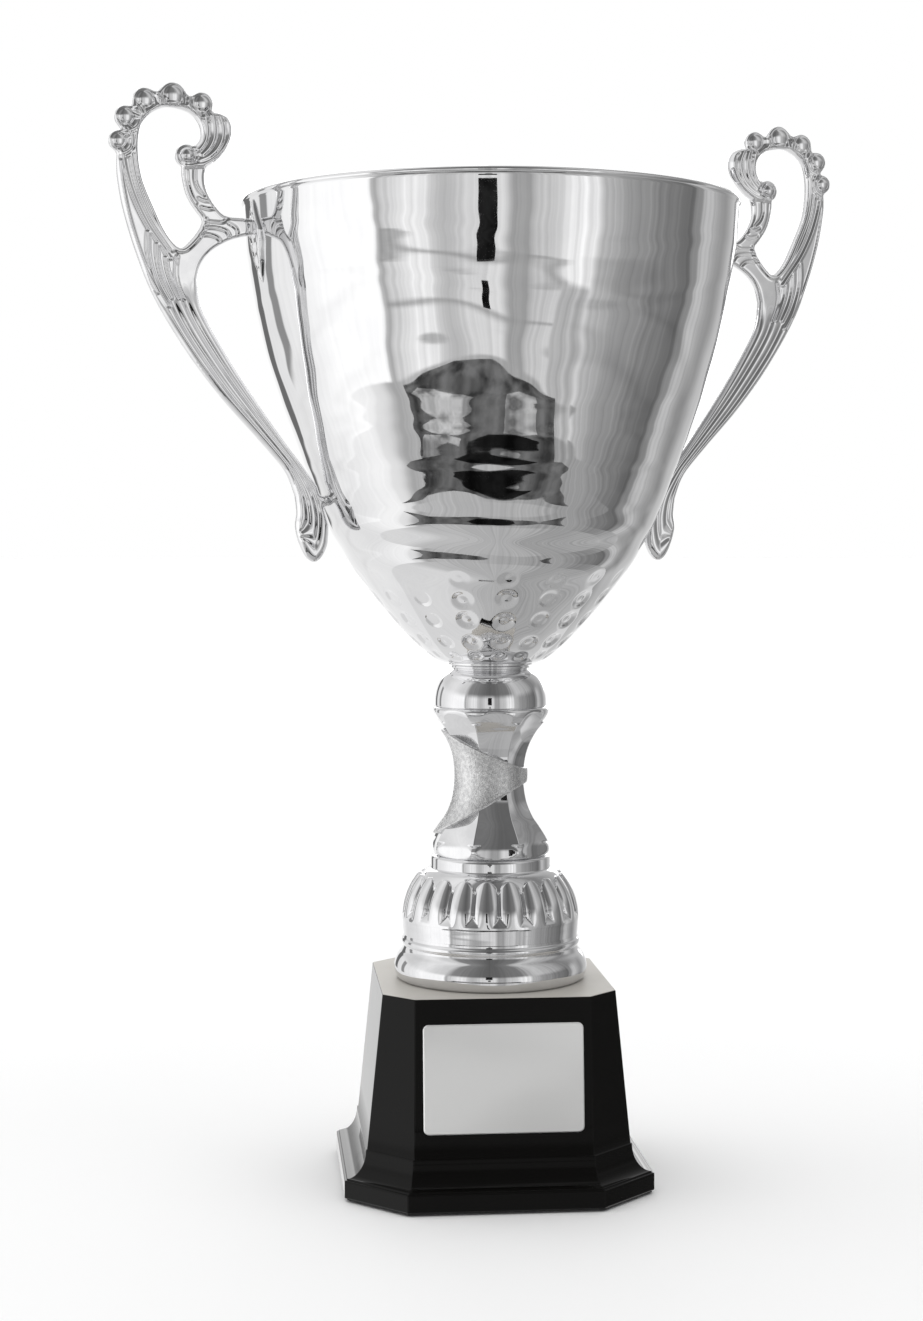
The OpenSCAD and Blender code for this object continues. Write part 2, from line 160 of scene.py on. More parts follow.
class Nodes:
    """Short names for building a material's node tree."""

    def __init__(self, name):
        self.material = bpy.data.materials.new(name)
        self.material.use_nodes = True
        self.tree = self.material.node_tree
        self.shader = self.tree.nodes["Principled BSDF"]
        self.place = self.add("ShaderNodeTexCoord").outputs["Object"]

    def add(self, kind, **values):
        node = self.tree.nodes.new(kind)
        for key, value in values.items():
            if key in node.inputs:
                node.inputs[key].default_value = value
            else:
                setattr(node, key, value)
        return node

    def link(self, source, target):
        self.tree.links.new(source, target)

    def noise(self, scale, detail, stretch=(1, 1, 1)):
        spread = self.add("ShaderNodeMapping")
        spread.inputs["Scale"].default_value = stretch
        self.link(self.place, spread.inputs["Vector"])
        node = self.add("ShaderNodeTexNoise", Scale=scale, Detail=detail)
        self.link(spread.outputs["Vector"], node.inputs["Vector"])
        return node.outputs["Fac"]

    def ramp(self, source, low, high, start, end):
        """start where the source is below low, end where it is above high."""
        node = self.add("ShaderNodeMapRange")
        node.interpolation_type = "SMOOTHSTEP"
        for key, value in (("From Min", low), ("From Max", high), ("To Min", start), ("To Max", end)):
            node.inputs[key].default_value = value
        self.link(source, node.inputs["Value"])
        return node.outputs["Result"]

    def colours(self, source, first, second):
        node = self.add("ShaderNodeMix", data_type="RGBA")
        node.inputs[6].default_value = (*first, 1)
        node.inputs[7].default_value = (*second, 1)
        self.link(source, node.inputs[0])
        self.link(node.outputs[2], self.shader.inputs["Base Color"])

    def bump(self, source, strength, distance):
        node = self.add("ShaderNodeBump", Strength=strength, Distance=distance)
        self.link(source, node.inputs["Height"])
        self.link(node.outputs["Normal"], self.shader.inputs["Normal"])

    def set(self, **values):
        for key, value in values.items():
            self.shader.inputs[key.replace("_", " ")].default_value = value


def metal(name, light, dark, smooth, rough, mottle=60, grain=900, stretch=(1, 1, 1), bump=0.02, depth=2e-5):
    """Plated or bare metal: faint cloudiness in its colour, uneven gloss and a fine grain."""
    n = Nodes(name)
    n.set(Metallic=1.0)
    n.colours(n.ramp(n.noise(mottle, 4), 0.35, 0.65, 0, 1), light, dark)
    n.link(n.ramp(n.noise(mottle * 1.7, 5, stretch), 0.3, 0.75, smooth, rough), n.shader.inputs["Roughness"])
    n.bump(n.noise(grain, 2, stretch), bump, depth)
    return n.material


def satin_plate():
    """Satin silver sheet with a soft cloudy sheen, painted into its colour as lighter and darker bands."""
    n = Nodes("satin_plate")
    n.set(Metallic=0.62)
    # Painted sheen: stretched noise makes soft lighter and darker bands in the colour
    cloud = n.noise(17, 1, (0.6, 1, 1.5))
    n.colours(n.ramp(cloud, 0.3, 0.7, 0, 1), (0.97, 0.97, 0.96), (0.74, 0.74, 0.73))
    n.link(n.ramp(n.noise(40, 3), 0.0, 1.0, 0.27, 0.33), n.shader.inputs["Roughness"])
    n.bump(n.noise(5200, 2, (0.15, 1, 1)), 0.03, 1e-5)
    return n.material


def gloss_black():
    """Glossy black moulding with a slight orange peel and a few dust-fine dull spots, and a painted sheen on
    its deck.
    """
    n = Nodes("gloss_black")
    # The deck is painted a light satin greige, a painted sheen for the room's light glancing off the black
    # top, and the sides are gloss black
    split = n.add("ShaderNodeSeparateXYZ")
    n.link(n.place, split.inputs[0])
    deck = n.ramp(split.outputs[2], (PLINTH_HIGH[2] - 0.25) * MM, (PLINTH_HIGH[2] - 0.05) * MM, 0, 1)
    # Painted sheen: light greige base colour on the deck, near black on the sides
    n.colours(deck, (0.0035, 0.0033, 0.003), (0.50, 0.48, 0.445))
    n.set(IOR=1.26)
    sides = n.ramp(n.noise(120, 5), 0.4, 0.8, 0.04, 0.1)
    total = n.add("ShaderNodeMath", operation="MULTIPLY_ADD")
    total.inputs[1].default_value = 0.4
    n.link(deck, total.inputs[0])
    n.link(sides, total.inputs[2])
    n.link(total.outputs[0], n.shader.inputs["Roughness"])
    n.bump(n.noise(140, 2), 0.05, 2e-5)
    return n.material


def dull_sheet(name, light, dark, scale):
    """Fibre or foam: matt, cloudy and finely rough."""
    n = Nodes(name)
    n.colours(n.ramp(n.noise(scale, 4), 0.3, 0.7, 0, 1), light, dark)
    n.link(n.ramp(n.noise(scale * 2, 3), 0.3, 0.7, 0.6, 0.85), n.shader.inputs["Roughness"])
    n.bump(n.noise(2500, 3), 0.6, 1e-4)
    return n.material


def black_felt():
    """Black felt with a faint nap."""
    n = Nodes("felt")
    n.colours(n.ramp(n.noise(900, 4), 0.3, 0.7, 0, 1), (0.030, 0.030, 0.031), (0.012, 0.012, 0.013))
    n.link(n.ramp(n.noise(500, 3), 0.3, 0.7, 0.85, 0.98), n.shader.inputs["Roughness"])
    n.set(Sheen_Weight=0.25, Sheen_Roughness=0.5)
    n.bump(n.noise(2600, 4), 0.8, 3e-4)
    return n.material


CHROME = metal("bowl_chrome", (0.90, 0.90, 0.905), (0.86, 0.86, 0.868), 0.012, 0.045,
               stretch=(1, 1, 9), bump=0.012)
CAST = metal("cast_chrome", (0.91, 0.91, 0.915), (0.84, 0.84, 0.85), 0.02, 0.06,
             mottle=160, grain=1400, bump=0.03)
PLATED = metal("plated_plastic", (0.86, 0.86, 0.868), (0.80, 0.80, 0.81), 0.025, 0.07, mottle=110)
FROSTED = metal("frosted_plating", (0.86, 0.86, 0.86), (0.66, 0.66, 0.665), 0.22, 0.4,
                mottle=700, grain=3200, bump=0.6, depth=2e-4)
ZINC = metal("zinc_steel", (0.66, 0.67, 0.69), (0.52, 0.53, 0.55), 0.22, 0.38, mottle=240, bump=0.1)
SPRING_STEEL = metal("spring_steel", (0.2, 0.2, 0.21), (0.12, 0.12, 0.13), 0.3, 0.45, mottle=300, bump=0.1)
IRON = metal("ballast_iron", (0.17, 0.165, 0.16), (0.10, 0.095, 0.09), 0.55, 0.8,
             mottle=90, grain=420, bump=0.5, depth=4e-4)
FIBRE = dull_sheet("fibre", (0.36, 0.075, 0.05), (0.24, 0.05, 0.035), 300)
TAPE = dull_sheet("tape", (0.84, 0.84, 0.82), (0.74, 0.74, 0.72), 400)
BLACK = gloss_black()
SATIN = satin_plate()
FELT = black_felt()


# ---------------------------------------------------------------- bowl

SHEET = 0.8
ROLL_R = 1.2
SEAT_R = 19.0
SHOULDER = np.array([RIM_R - 33.7, SEAT_Z + 56])
LIP = np.array([RIM_R - 0.6, RIM_Z - ROLL_R * 1.8])


def bowl_line():
    low = bezier([(SEAT_R, SEAT_Z), (SEAT_R + 11.7, SEAT_Z + 3.8), SHOULDER - (5, 13), SHOULDER], 60)
    high = bezier([SHOULDER, SHOULDER + (12.6, 32.4), LIP - (2.1, 47.5), LIP], 90)
    return np.vstack([low, high[1:]])


WALL = bowl_line()


def wall_radius(z):
    return np.interp(z, WALL[:, 1], WALL[:, 0])


# Rings of hammered facets: height above the seat, radius of a facet, depth
FACET_RINGS = [(35.0, 4.5, 0.24), (26.6, 4.7, 0.66), (18.1, 4.5, 0.85), (9.3, 4.3, 0.9), (3.4, 3.3, 0.6)]
FACETS_PER_RING = 17
FACET_START = math.radians(-109.6)
# Direction from the axis to the camera
FRONT = math.radians(-96.1)
# Steps left by the spinning roller: height, half width, slope in degrees, sway up and down
ROLLER_STEPS = [(372, 3.4, 2.4, 7), (353, 3.2, -2.0, 7), (340, 4.0, -0.5, 5), (325, 4.5, -0.5, 3),
                (311, 4.0, -1.4, 2), (301, 3.2, 1.5, 1), (287.2, 3.2, -2.4, 0.8), (279.2, 3.4, 1.7, 0.8),
                (271.4, 2.9, -2.0, 0.6), (264.6, 4.6, 5.0, 1.4), (252.4, 6.2, 19.0, 1.3)]
# A step steeper than this, in degrees, fades away from the front of the cup
STEEP = 4
SWAY_TURN = math.radians(22)
# Waves all over the wall: wavelength up the wall, lobes around it, height
WAVES = [(14, 12, 0.018), (21, 13, 0.030), (33, 11, 0.046), (55, 12, 0.060), (90, 8, 0.10), (140, 5, 0.14)]


def wall_dents(angle, along, radius, height):
    """How far the wall lies inside its ideal surface, in millimetres."""
    dent = 0 * angle
    step_angle = TAU / FACETS_PER_RING
    for up, size, depth in FACET_RINGS:
        ring_along = np.interp(up + SEAT_Z, WALL[:, 1], lengths_along(WALL))
        turn = (angle - FACET_START + step_angle / 2) % step_angle - step_angle / 2
        index = np.round((angle - FACET_START - turn) / step_angle)
        wander = 0.5 * np.sin(index * 2.4 + up)
        # A facet has a flat floor with a slight crown, and a crisp edge
        away = np.hypot(turn * radius, along - ring_along - wander) / size
        crown = 0.35 * np.exp(-((away / 0.3) ** 2))
        dent = dent + depth * np.exp(-((away / 0.8) ** 7)) * (1 - crown)
    aside = (angle - FRONT + math.pi) % TAU - math.pi
    for at, width, slope, sway in ROLLER_STEPS:
        x = height - at + sway * np.cos(3 * (angle - FRONT - SWAY_TURN))
        kept = 1 - 0.7 * smooth_step(np.abs(aside), 0.6, 1.3) if slope > STEEP else 1
        dent = dent + kept * math.radians(slope) * x * np.exp(-((x / width) ** 2))
    return dent


def ripples(angle, height):
    """Slight waves that spinning leaves all over the wall, in millimetres."""
    random = np.random.RandomState(11)
    total = 0 * angle
    for wave, lobes, amount in WAVES:
        for turns in (lobes, -lobes, lobes - 3, 0):
            phase = random.uniform(0, TAU)
            total = total + 0.5 * amount * np.sin(TAU * height / wave + turns * angle + phase)
    return total * (0.3 + 0.7 * smooth_step(RIM_Z - height, 0, 25))


def bowl():
    """Spun bowl: hub, outside, roll, inside, as rings from the hub's underside round to its top."""
    columns = 380
    fine, coarse = even(WALL, 0.9), even(WALL, 1.3)
    fine_top = SEAT_Z + 78
    outside = np.vstack([fine[fine[:, 1] < fine_top], coarse[coarse[:, 1] >= fine_top]])
    steps = lengths_along(outside)
    slope = np.gradient(outside, axis=0)
    slope /= np.linalg.norm(slope, axis=1)[:, None]
    normal = np.stack([slope[:, 1], -slope[:, 0]], -1)
    angle = np.linspace(0, TAU, columns, endpoint=False)[None, :]
    fade = smooth_step(steps, 0.5, 4)[:, None] * smooth_step(steps[-1] - steps, 0.5, 5)[:, None]
    dent = wall_dents(angle, steps[:, None], outside[:, :1], outside[:, 1:]) + ripples(angle, outside[:, 1:])
    dent = dent * fade

    def skin(offset):
        shift = offset - dent
        radius = outside[:, :1] + normal[:, :1] * shift
        height = outside[:, 1:] + normal[:, 1:] * shift
        return np.stack([radius * np.cos(angle), radius * np.sin(angle), height], -1)

    def plain(line):
        line = np.array(line)
        return around(line[:, :1], line[:, 1:], angle).reshape(-1, columns, 3)

    floor_z = SEAT_Z + SHEET
    roll = arc(RIM_R - ROLL_R, RIM_Z - ROLL_R, ROLL_R, ROLL_R, np.arange(-35, 222, 23))
    # The inside has fewer rows: one in three where the facets are, and one in six above them
    inner = skin(-SHEET)
    facet_rows = 96
    last = len(inner) - 1
    kept = np.concatenate([np.arange(0, facet_rows, 3), np.arange(facet_rows, last, 6), [last]])
    inner = inner[kept][::-1]
    inner = inner[inner[:, 0, 2] > floor_z + 0.1]
    points = np.concatenate([
        plain([(HUB_R, SEAT_Z), (HUB_R + 5, SEAT_Z), (HUB_R + 10, SEAT_Z)]), skin(0), plain(roll), inner,
        plain([(SEAT_R - 2, floor_z), (HUB_R + 5, floor_z), (HUB_R, floor_z)])])
    return make_piece("spun_bowl", points.reshape(-1, 3), grid_faces(len(points), columns, True),
                      CHROME, "cup_bowl")


# ---------------------------------------------------------------- stem


def closed_lathe(line, columns=160, shape=None):
    """Grid points of a turned piece. line is a closed section; shape may change radius by angle."""
    angle = np.linspace(0, TAU, columns, endpoint=False)[None, :]
    radius = line[:, :1] + 0 * angle
    height = line[:, 1:] + 0 * angle
    if shape:
        radius, height = shape(radius, height, angle)
    return around(radius, height, angle), grid_faces(len(line), columns, True)


def knop():
    """Domed knop with a seam at its foot and a small roll round its neck."""
    base = KNOP_LOW[2]
    top = KNOP_HIGH[2] - base
    r = KNOP_HIGH[0]
    line = [(HUB_R, 2.0), (r - 3, 2.0), (r - 3, 0.0), (r - 0.35, 0.0), (r - 0.1, 0.12), (r, 0.45)]
    line += bezier([(r, 0.7), (r + 0.2, 8.0), (r - 2.9, 13.6), (15.4, 15.0)], 26).tolist()
    line += [(15.15, 15.2), (15.1, 15.4), (15.3, 15.55)]
    line += arc(15.2, 16.2, 0.7, 0.7, np.arange(-56, 80, 12))
    line += [(15.0, top - 0.05), (14.6, top), (10, top), (HUB_R, top)]
    line = np.array(line) + (0, base)
    points, faces = closed_lathe(line)
    return make_piece("knop_moulding", points, faces, PLATED, "stem_knop")


def seat_disc():
    """Thin disc with soft edges."""
    low, high = node_box("seat_ring")
    r, soft = high[0], 0.3
    line = np.array([(HUB_R, low[2]), (r - soft, low[2]), (r - 0.08, low[2] + 0.1), (r, low[2] + soft),
                     (r, high[2] - soft), (r - 0.08, high[2] - 0.1), (r - soft, high[2]), (HUB_R, high[2])])
    points, faces = closed_lathe(line)
    return make_piece("seat_disc", points, faces, CHROME, "seat_ring")


COLUMN_BASE = COLUMN_LOW[2]
# Ridges between the hollow panels: radius over height above the column's base
RIDGE_LINE = spline([(25.2, 1.5), (24.6, 5.0), (23.0, 8.3), (20.4, 12.2), (17.6, 16.2), (15.3, 21.5),
                     (14.2, 27), (13.9, 31.5), (14.1, 36), (15.0, 41.3), (16.8, 46.2), (19.2, 50.4),
                     (21.9, 53.8), (24.6, 57.2), (26.0, 59.4)], 8)
PANELS = 8
PANEL_DEPTH = 0.105


def ridge_radius(up):
    return np.interp(up, RIDGE_LINE[:, 1], RIDGE_LINE[:, 0])


def column():
    """Waisted column: a plain band, hollow panels between ridges, and a flared collar."""
    f, c = COLUMN_HIGH[0], KNOP_HIGH[0] + 1.0
    top = COLUMN_HIGH[2] - COLUMN_BASE
    band = [(f - 2.4, 0.0), (f - 1.9, 0.12), (f - 1.2, 0.5), (f - 0.55, 1.2), (f - 0.15, 2.1), (f, 3.0),
            (f - 0.12, 3.9), (f - 0.5, 4.8), (f - 1.1, 5.5), (f - 1.7, 6.0)]
    free = [(f + 0.1, u) for u in np.linspace(6.2, 54.4, 120)]
    collar = [(c - 1.9, 54.8), (c - 1.5, 55.3), (c - 1.0, 56.0), (c - 0.5, 56.9), (c - 0.12, 57.8), (c, 58.5),
              (c - 0.02, 59.2), (c - 0.25, 59.9), (c - 0.9, top)]
    web = top - PLASTIC_T
    core = [(c - 6, top), (HUB_R, top), (HUB_R, web), (10, web), (10, 30), (10, 0), (16, 0)]
    rim = np.array(band + free + collar)
    # Between the band and the collar, the panels alone set the radius
    line = np.vstack([rim, core])
    outer = len(rim)

    def shape(radius, height, angle):
        across = ((angle / TAU * PANELS + 0.5) % 1) * 2 - 1
        panel = ridge_radius(height) * (1 - PANEL_DEPTH * (1 - across**2))
        skin = np.where(np.arange(len(line))[:, None] < outer, np.minimum(radius, panel), radius)
        return skin, height + COLUMN_BASE

    points, faces = closed_lathe(line, 384, shape)
    return make_piece("column_moulding", points, faces, PLATED, "stem_column")


SASH_T = 0.7
# Height on the axis above the column's base, and fall per millimetre towards the knot
SASH_TOP = (42.2, 0.44)
SASH_BOTTOM = (21.3, -0.55)


def sash():
    """A frosted band between two tilted planes, with raised edges and a fold at the knot."""
    columns, rows = 420, 64
    angle = np.linspace(0, TAU, columns, endpoint=False)[None, :]
    turn = (angle - KNOT_TURN + math.pi) % TAU - math.pi

    def edge(plane):
        up = np.full_like(angle, plane[0])
        for _ in range(12):
            up = plane[0] - plane[1] * (ridge_radius(up) + SASH_T) * np.cos(turn)
        return up

    low, high = edge(SASH_BOTTOM), edge(SASH_TOP)
    across = np.linspace(0, 1, rows)[:, None]
    up = low + (high - low) * across
    width = high - low
    from_edge = np.minimum(across, 1 - across) * width
    random = np.random.RandomState(5)
    grain = random.normal(0, 0.028, up.shape) * smooth_step(from_edge, 0.6, 1.2)
    lip = 0.22 * np.exp(-((from_edge - 0.4) / 0.3) ** 2)
    fold = 0.45 * np.exp(-((turn / 0.24) ** 2)) * smooth_step(from_edge, 0, 1.6)
    roll = np.sqrt(np.clip(from_edge / 0.5, 0, 1))
    radius = ridge_radius(up) + SASH_T * roll + lip * roll + grain + fold
    inside = ridge_radius(up[::-1]) * (1 - PANEL_DEPTH) - 0.6
    points = np.vstack([around(radius, up + COLUMN_BASE, angle),
                        around(inside, up[::-1] + COLUMN_BASE, angle)])
    return make_piece("frosted_sash", points, grid_faces(2 * rows, columns, True),
                      FROSTED, "stem_sash")


FOOT_BASE = FOOT_LOW[2]
DOME_AT = np.array([7.8, 24.5])
DOME_R = 36.0
FLUTES = 20


def foot():
    """Fluted dome on a beaded flange."""
    f = FOOT_HIGH[0]
    top = FOOT_HIGH[2] - FOOT_BASE
    web = top - PLASTIC_T
    neck = 24.3
    arc_r = DOME_R - DOME_AT[0]
    line = spline([(f - 2.2, 0.0), (f - 1.5, 0.25), (f - 0.8, 1.1), (f - 0.2, 2.7), (f, 4.6), (f - 0.25, 6.6),
                   (f - 1.0, 8.6), (f - 2.0, 10.3), (36.3, 11.6), (35.75, 12.6), (35.5, 13.5)], 6).tolist()
    line += arc(35.3, 15.4, 1.0, 1.5, np.arange(-76, 77, 12))
    line += [(35.4, 17.3), (35.5, 18.6), (35.65, 20.2), (35.78, 21.8), (35.85, 23.2)]
    first_dome = len(line)
    up_dome = np.linspace(0, 45, 90)
    line += arc(*DOME_AT, arc_r, arc_r, up_dome)
    last_dome = len(line)
    line += [(neck + 1.2, 44.75), (neck + 0.5, 44.9), (neck + 0.12, 45.2), (neck, 45.8), (neck, 48.6),
             (neck - 0.1, 49.4), (neck - 0.35, 49.9), (neck - 1.0, top), (HUB_R, top), (HUB_R, web),
             (19, web), (19, 40), (28.5, 26), (30, 16), (30, 0)]
    line = np.array(line)

    def shape(radius, height, angle):
        across = ((angle / TAU * FLUTES) % 1) * 2 - 1
        a = np.zeros(len(line))
        a[first_dome:last_dome] = up_dome
        a = a[:, None]
        on_dome = np.zeros((len(line), 1))
        on_dome[first_dome:last_dome] = 1
        # Lobes swell from points low down and end in round arches near the neck. Angles are up the dome
        half = 0.30 + 0.68 * smooth_step(a, -4, 14)
        belly = np.sqrt(np.clip(1 - (across / half) ** 2, 0, 1))
        sunk = 2.7 * smooth_step(a, 0.5, 15.0)
        arch = 41.2 - 9.5 * np.abs(across) ** 2.2
        inside = 1 - smooth_step(a, arch - 0.8, arch + 0.9)
        groove = sunk * (1 - belly) * inside
        shoulder = 1.3 * (1 - inside) * smooth_step(a, 20, 30)
        depth = (groove + shoulder) * on_dome
        cos_a, sin_a = np.cos(np.radians(a)), np.sin(np.radians(a))
        return radius - depth * cos_a, height - depth * sin_a + FOOT_BASE

    points, faces = closed_lathe(line, 520, shape)
    return make_piece("fluted_foot", points, faces, PLATED, "stem_foot")


# ---------------------------------------------------------------- plinth

SLAB_CUT = 23.2
BASE_CUT = 17.4
TOP_CUT = 11.8
TOP_HALF = 46.3
BODY_LEAN = 6.2
SLAB_TOP = 8.1
COVE_TOP = 19.5


def octagon_ring(half, cut, fillet=0.5, steps=4):
    """Octagon with filleted corners and a support point beside each fillet."""
    corners = []
    for quarter in range(4):
        c, s = [(1, 0), (0, 1), (-1, 0), (0, -1)][quarter]
        for x, y in ((half, -half + cut), (half, half - cut)):
            corners.append(np.array([x * c - y * s, x * s + y * c]))
    out = []
    for i, p in enumerate(corners):
        before = corners[i - 1] - p
        after = corners[(i + 1) % 8] - p
        before /= np.linalg.norm(before)
        after /= np.linalg.norm(after)
        reach = fillet * math.tan(math.radians(22.5))
        centre = p + (before + after) / np.linalg.norm(before + after) * fillet / math.cos(math.radians(22.5))
        a, b = p + before * reach, p + after * reach
        out.append(a + before * 0.35)
        for k in range(steps + 1):
            v = (a - centre) * (1 - k / steps) + (b - centre) * k / steps
            out.append(centre + v / np.linalg.norm(v) * fillet)
        out.append(b + after * 0.35)
    return np.array(out)


def ring_stack(rings):
    """Points and faces of a closed stack of octagon rings: (height, half width, cut, fillet)."""
    layers = []
    for z, half, cut, fillet in rings:
        ring = octagon_ring(half, cut, fillet)
        layers.append(np.hstack([ring, np.full((len(ring), 1), z)]))
    count = len(layers[0])
    return np.vstack(layers), grid_faces(len(layers), count, True)


def plinth():
    """Octagonal moulding: slab, cove with a small ledge, leaning body and a soft-edged deck."""
    base_z, top = PLINTH_LOW[2], PLINTH_HIGH[2]
    slab = PLINTH_HIGH[0]
    base_half = TOP_HALF + BODY_LEAN
    soft = 0.55

    def rounded(z, half, cut, degrees, fillet):
        """Rings round a soft upper edge that ends at height z."""
        rings = []
        for a in np.radians(degrees):
            out = soft * (1 - math.cos(a))
            rings.append((z - soft + soft * math.sin(a), half - out, cut - out * 0.4, fillet))
        return rings

    rings = [(base_z, slab - 0.5, SLAB_CUT, 0.5), (base_z + 0.15, slab - 0.15, SLAB_CUT, 0.6),
             (base_z + 0.5, slab, SLAB_CUT, 0.6), (base_z + 0.9, slab, SLAB_CUT, 0.6),
             (SLAB_TOP - soft - 0.4, slab, SLAB_CUT, 0.6)]
    rings += rounded(SLAB_TOP, slab, SLAB_CUT, (0, 22, 45, 67, 90), 0.6)
    cove_half = slab - 1.0
    cove_cut = SLAB_CUT - 0.35
    rings += [(SLAB_TOP, slab - soft - 0.25, SLAB_CUT - 0.3, 0.6),
              (SLAB_TOP + 0.1, cove_half + 0.08, SLAB_CUT - 0.3, 0.6),
              (SLAB_TOP + 0.35, cove_half, cove_cut, 0.6)]
    ledge = 0.55
    cove_top_half = base_half + ledge
    cove_z = SLAB_TOP + 0.5
    cove_up = COVE_TOP - cove_z - 0.35
    for a in np.radians(np.linspace(0, 82, 16)):
        s, c = math.sin(a), math.cos(a)
        rings.append((cove_z + cove_up * (1 - c), cove_top_half + (cove_half - cove_top_half) * (1 - s),
                      BASE_CUT + (cove_cut - BASE_CUT) * (1 - s), 0.55))
    rings += [(COVE_TOP + up, cove_top_half - back, BASE_CUT, fillet) for up, back, fillet in
              ((-0.3, 0.03, 0.55), (-0.08, 0.15, 0.5), (0, 0.35, 0.5), (0.02, 0.45, 0.5), (0.15, 0.56, 0.5))]
    lean = BODY_LEAN / (top - COVE_TOP)
    cut_fall = (BASE_CUT - TOP_CUT) / (top - COVE_TOP)
    for z in (30, 45, 60, 72, top - soft - 0.4, top - soft):
        rings.append((z, base_half - lean * (z - COVE_TOP), BASE_CUT - cut_fall * (z - COVE_TOP), 0.5))
    half_at, cut_at = rings[-1][1:3]
    rings += rounded(top, half_at, cut_at, (22, 45, 67, 90), 0.5)
    inner_half, inner_cut = base_half - PLASTIC_T, BASE_CUT - PLASTIC_T
    under = top - PLASTIC_T
    rings += [(top, half_at - soft - 0.4, cut_at - 0.4, 0.5), (top, 30, 17.5, 0.5), (top, HUB_R, 1.95, 0.2),
              (under, HUB_R, 1.95, 0.2), (under, inner_half - lean * 58, TOP_CUT - 1, 0.4),
              (COVE_TOP, inner_half, inner_cut, 0.4), (base_z, inner_half, inner_cut, 0.4)]
    points, faces = ring_stack(rings)
    return make_piece("plinth_moulding", points, faces, BLACK, "plinth_shell")


def felt():
    """Felt under the plinth, a little uneven at its edge."""
    low, high = FELT_LOW[2], FELT_HIGH[2]
    half = FELT_HIGH[0]
    cut = SLAB_CUT - 1
    rings = [(high, 3, 1.76, 0.1), (high, half - 0.4, cut, 0.8), (high - 0.15, half - 0.05, cut, 0.8),
             (low + 0.5, half, cut, 0.8), (low + 0.15, half - 0.08, cut, 0.8), (low, half - 0.5, cut, 0.8)]
    rings += [(low + (0.06 if k % 2 else 0.0), half - 0.5 - k * 5, cut * (1 - k / 14), 0.8 - k * 0.05)
              for k in range(1, 12)]
    rings += [(low, 3, 1.76, 0.1)]
    points, faces = ring_stack(rings)
    return make_piece("felt_sheet", points, faces, FELT, "base_felt")


def plate():
    """Blank plate with rounded corners and a bevelled edge, leaning with the plinth's face."""
    lean = math.atan(BODY_LEAN / (PLINTH_HIGH[2] - 0.6 - COVE_TOP))
    wide, high = 63.0, 42.5
    thick, bevel, corner = 0.8, 0.45, 2.2
    middle_z = 50.0
    face_y = TOP_HALF + BODY_LEAN - (middle_z - COVE_TOP) * math.tan(lean)

    def ring(inset, level):
        r = max(corner - inset, 0.2)
        points = []
        for cx, cy, start in ((1, 1, 0), (-1, 1, 90), (-1, -1, 180), (1, -1, 270)):
            middle = cx * (wide / 2 - corner), cy * (high / 2 - corner)
            points += arc(*middle, r, r, start + np.linspace(0, 90, 9))
        return np.hstack([points, np.full((len(points), 1), level)])

    levels = [(0.0, 0.0), (0.0, 0.1), (0.0, thick - bevel), (0.04, thick - bevel + 0.06),
              (bevel - 0.05, thick - 0.04), (bevel, thick), (bevel + 0.15, thick), (bevel + 1.2, thick)]
    layers = [ring(*level) for level in levels]
    count = len(layers[0])
    local = np.vstack(layers)
    last = (len(layers) - 1) * count
    caps = [list(range(count))[::-1], [last + k for k in range(count)]]
    turn = np.array(Matrix.Rotation(math.radians(90) - lean, 3, "X"))
    tape = 0.3
    points = (local + (0, 0, tape)) @ turn.T + (0, -face_y, middle_z)
    return make_piece("engraving_plate", points, grid_faces(len(layers), count) + caps,
                      SATIN, "name_plate")


def threaded_rod():
    """Studding with a 1 mm thread."""
    columns, per_turn = 20, 6
    low, high = ROD_LOW[2], ROD_HIGH[2]
    height = np.linspace(low, high, int((high - low) * per_turn) + 1)[:, None]
    angle = np.linspace(0, TAU, columns, endpoint=False)[None, :]
    ends = smooth_step(height - low, 0, 1.2) * smooth_step(high - height, 0, 1.2)
    tooth = np.abs((height - angle / TAU) % 1.0 - 0.5) * 2
    radius = ROD_HIGH[0] - 0.55 * tooth - 0.5 * (1 - ends)
    skin = around(radius, height, angle).reshape(-1, columns, 3)
    to_core = (0.05, 0.05, 1)
    rings = np.concatenate([skin[:1] * to_core, skin, skin[-1:] * to_core])
    return make_piece("threaded_rod", rings.reshape(-1, 3), grid_faces(len(rings), columns, True),
                      ZINC, "tie_rod")


# ---------------------------------------------------------------- handles

CREST = np.array([RIM_R + 32.5, RIM_Z + 17.2])
CREST_OUT = 18.6
# Beads on the crest: angle, distance from its centre, radius
BEADS = [(-4, 20, 3.9), (24, 18.8, 4.3), (56, 17.4, 4.7), (94, 16.7, 5.2), (131, 19, 4.5)]
VOLUTE = np.array([-6.5, -5.7])
# The blended outline is drawn in by this much, so that it stays within the casting
SHRINK = 0.24
VOLUTE_R = 4.65
ARM_TOP = [(-45, -25), (-33.5, -27.8), (-27, -27.9), (-21, -27.2), (-16.4, -22.4), (-14, -17.5), (-13.5, -13),
           (-14.2, -9.6)]
SHELL_EDGE = [(-14.2, -9.6), (-18, -7), (-21.8, -2.8), (-24.1, 1.6), (-24.5, 6), (-22.8, 9.8), (-19, 11.5)]
LIMB_OUTSIDE = [(19.4, -2), (20.9, -8), (20.5, -16), (18.2, -28), (13.4, -43.5), (6.2, -60.5), (-6.6, -80.8),
                (-20.1, -97.8), (-35.5, -114.2), (-45.3, -125.5), (-49.3, -135)]
TAIL_EDGE = [(-49.3, -135), (-50, -141.5), (-49.4, -147), (-51.2, -154), (-54, -159.2), (-57.2, -161),
             (-60.2, -159), (-62.4, -154.7), (-63, -150.5), (-63.2, -146)]
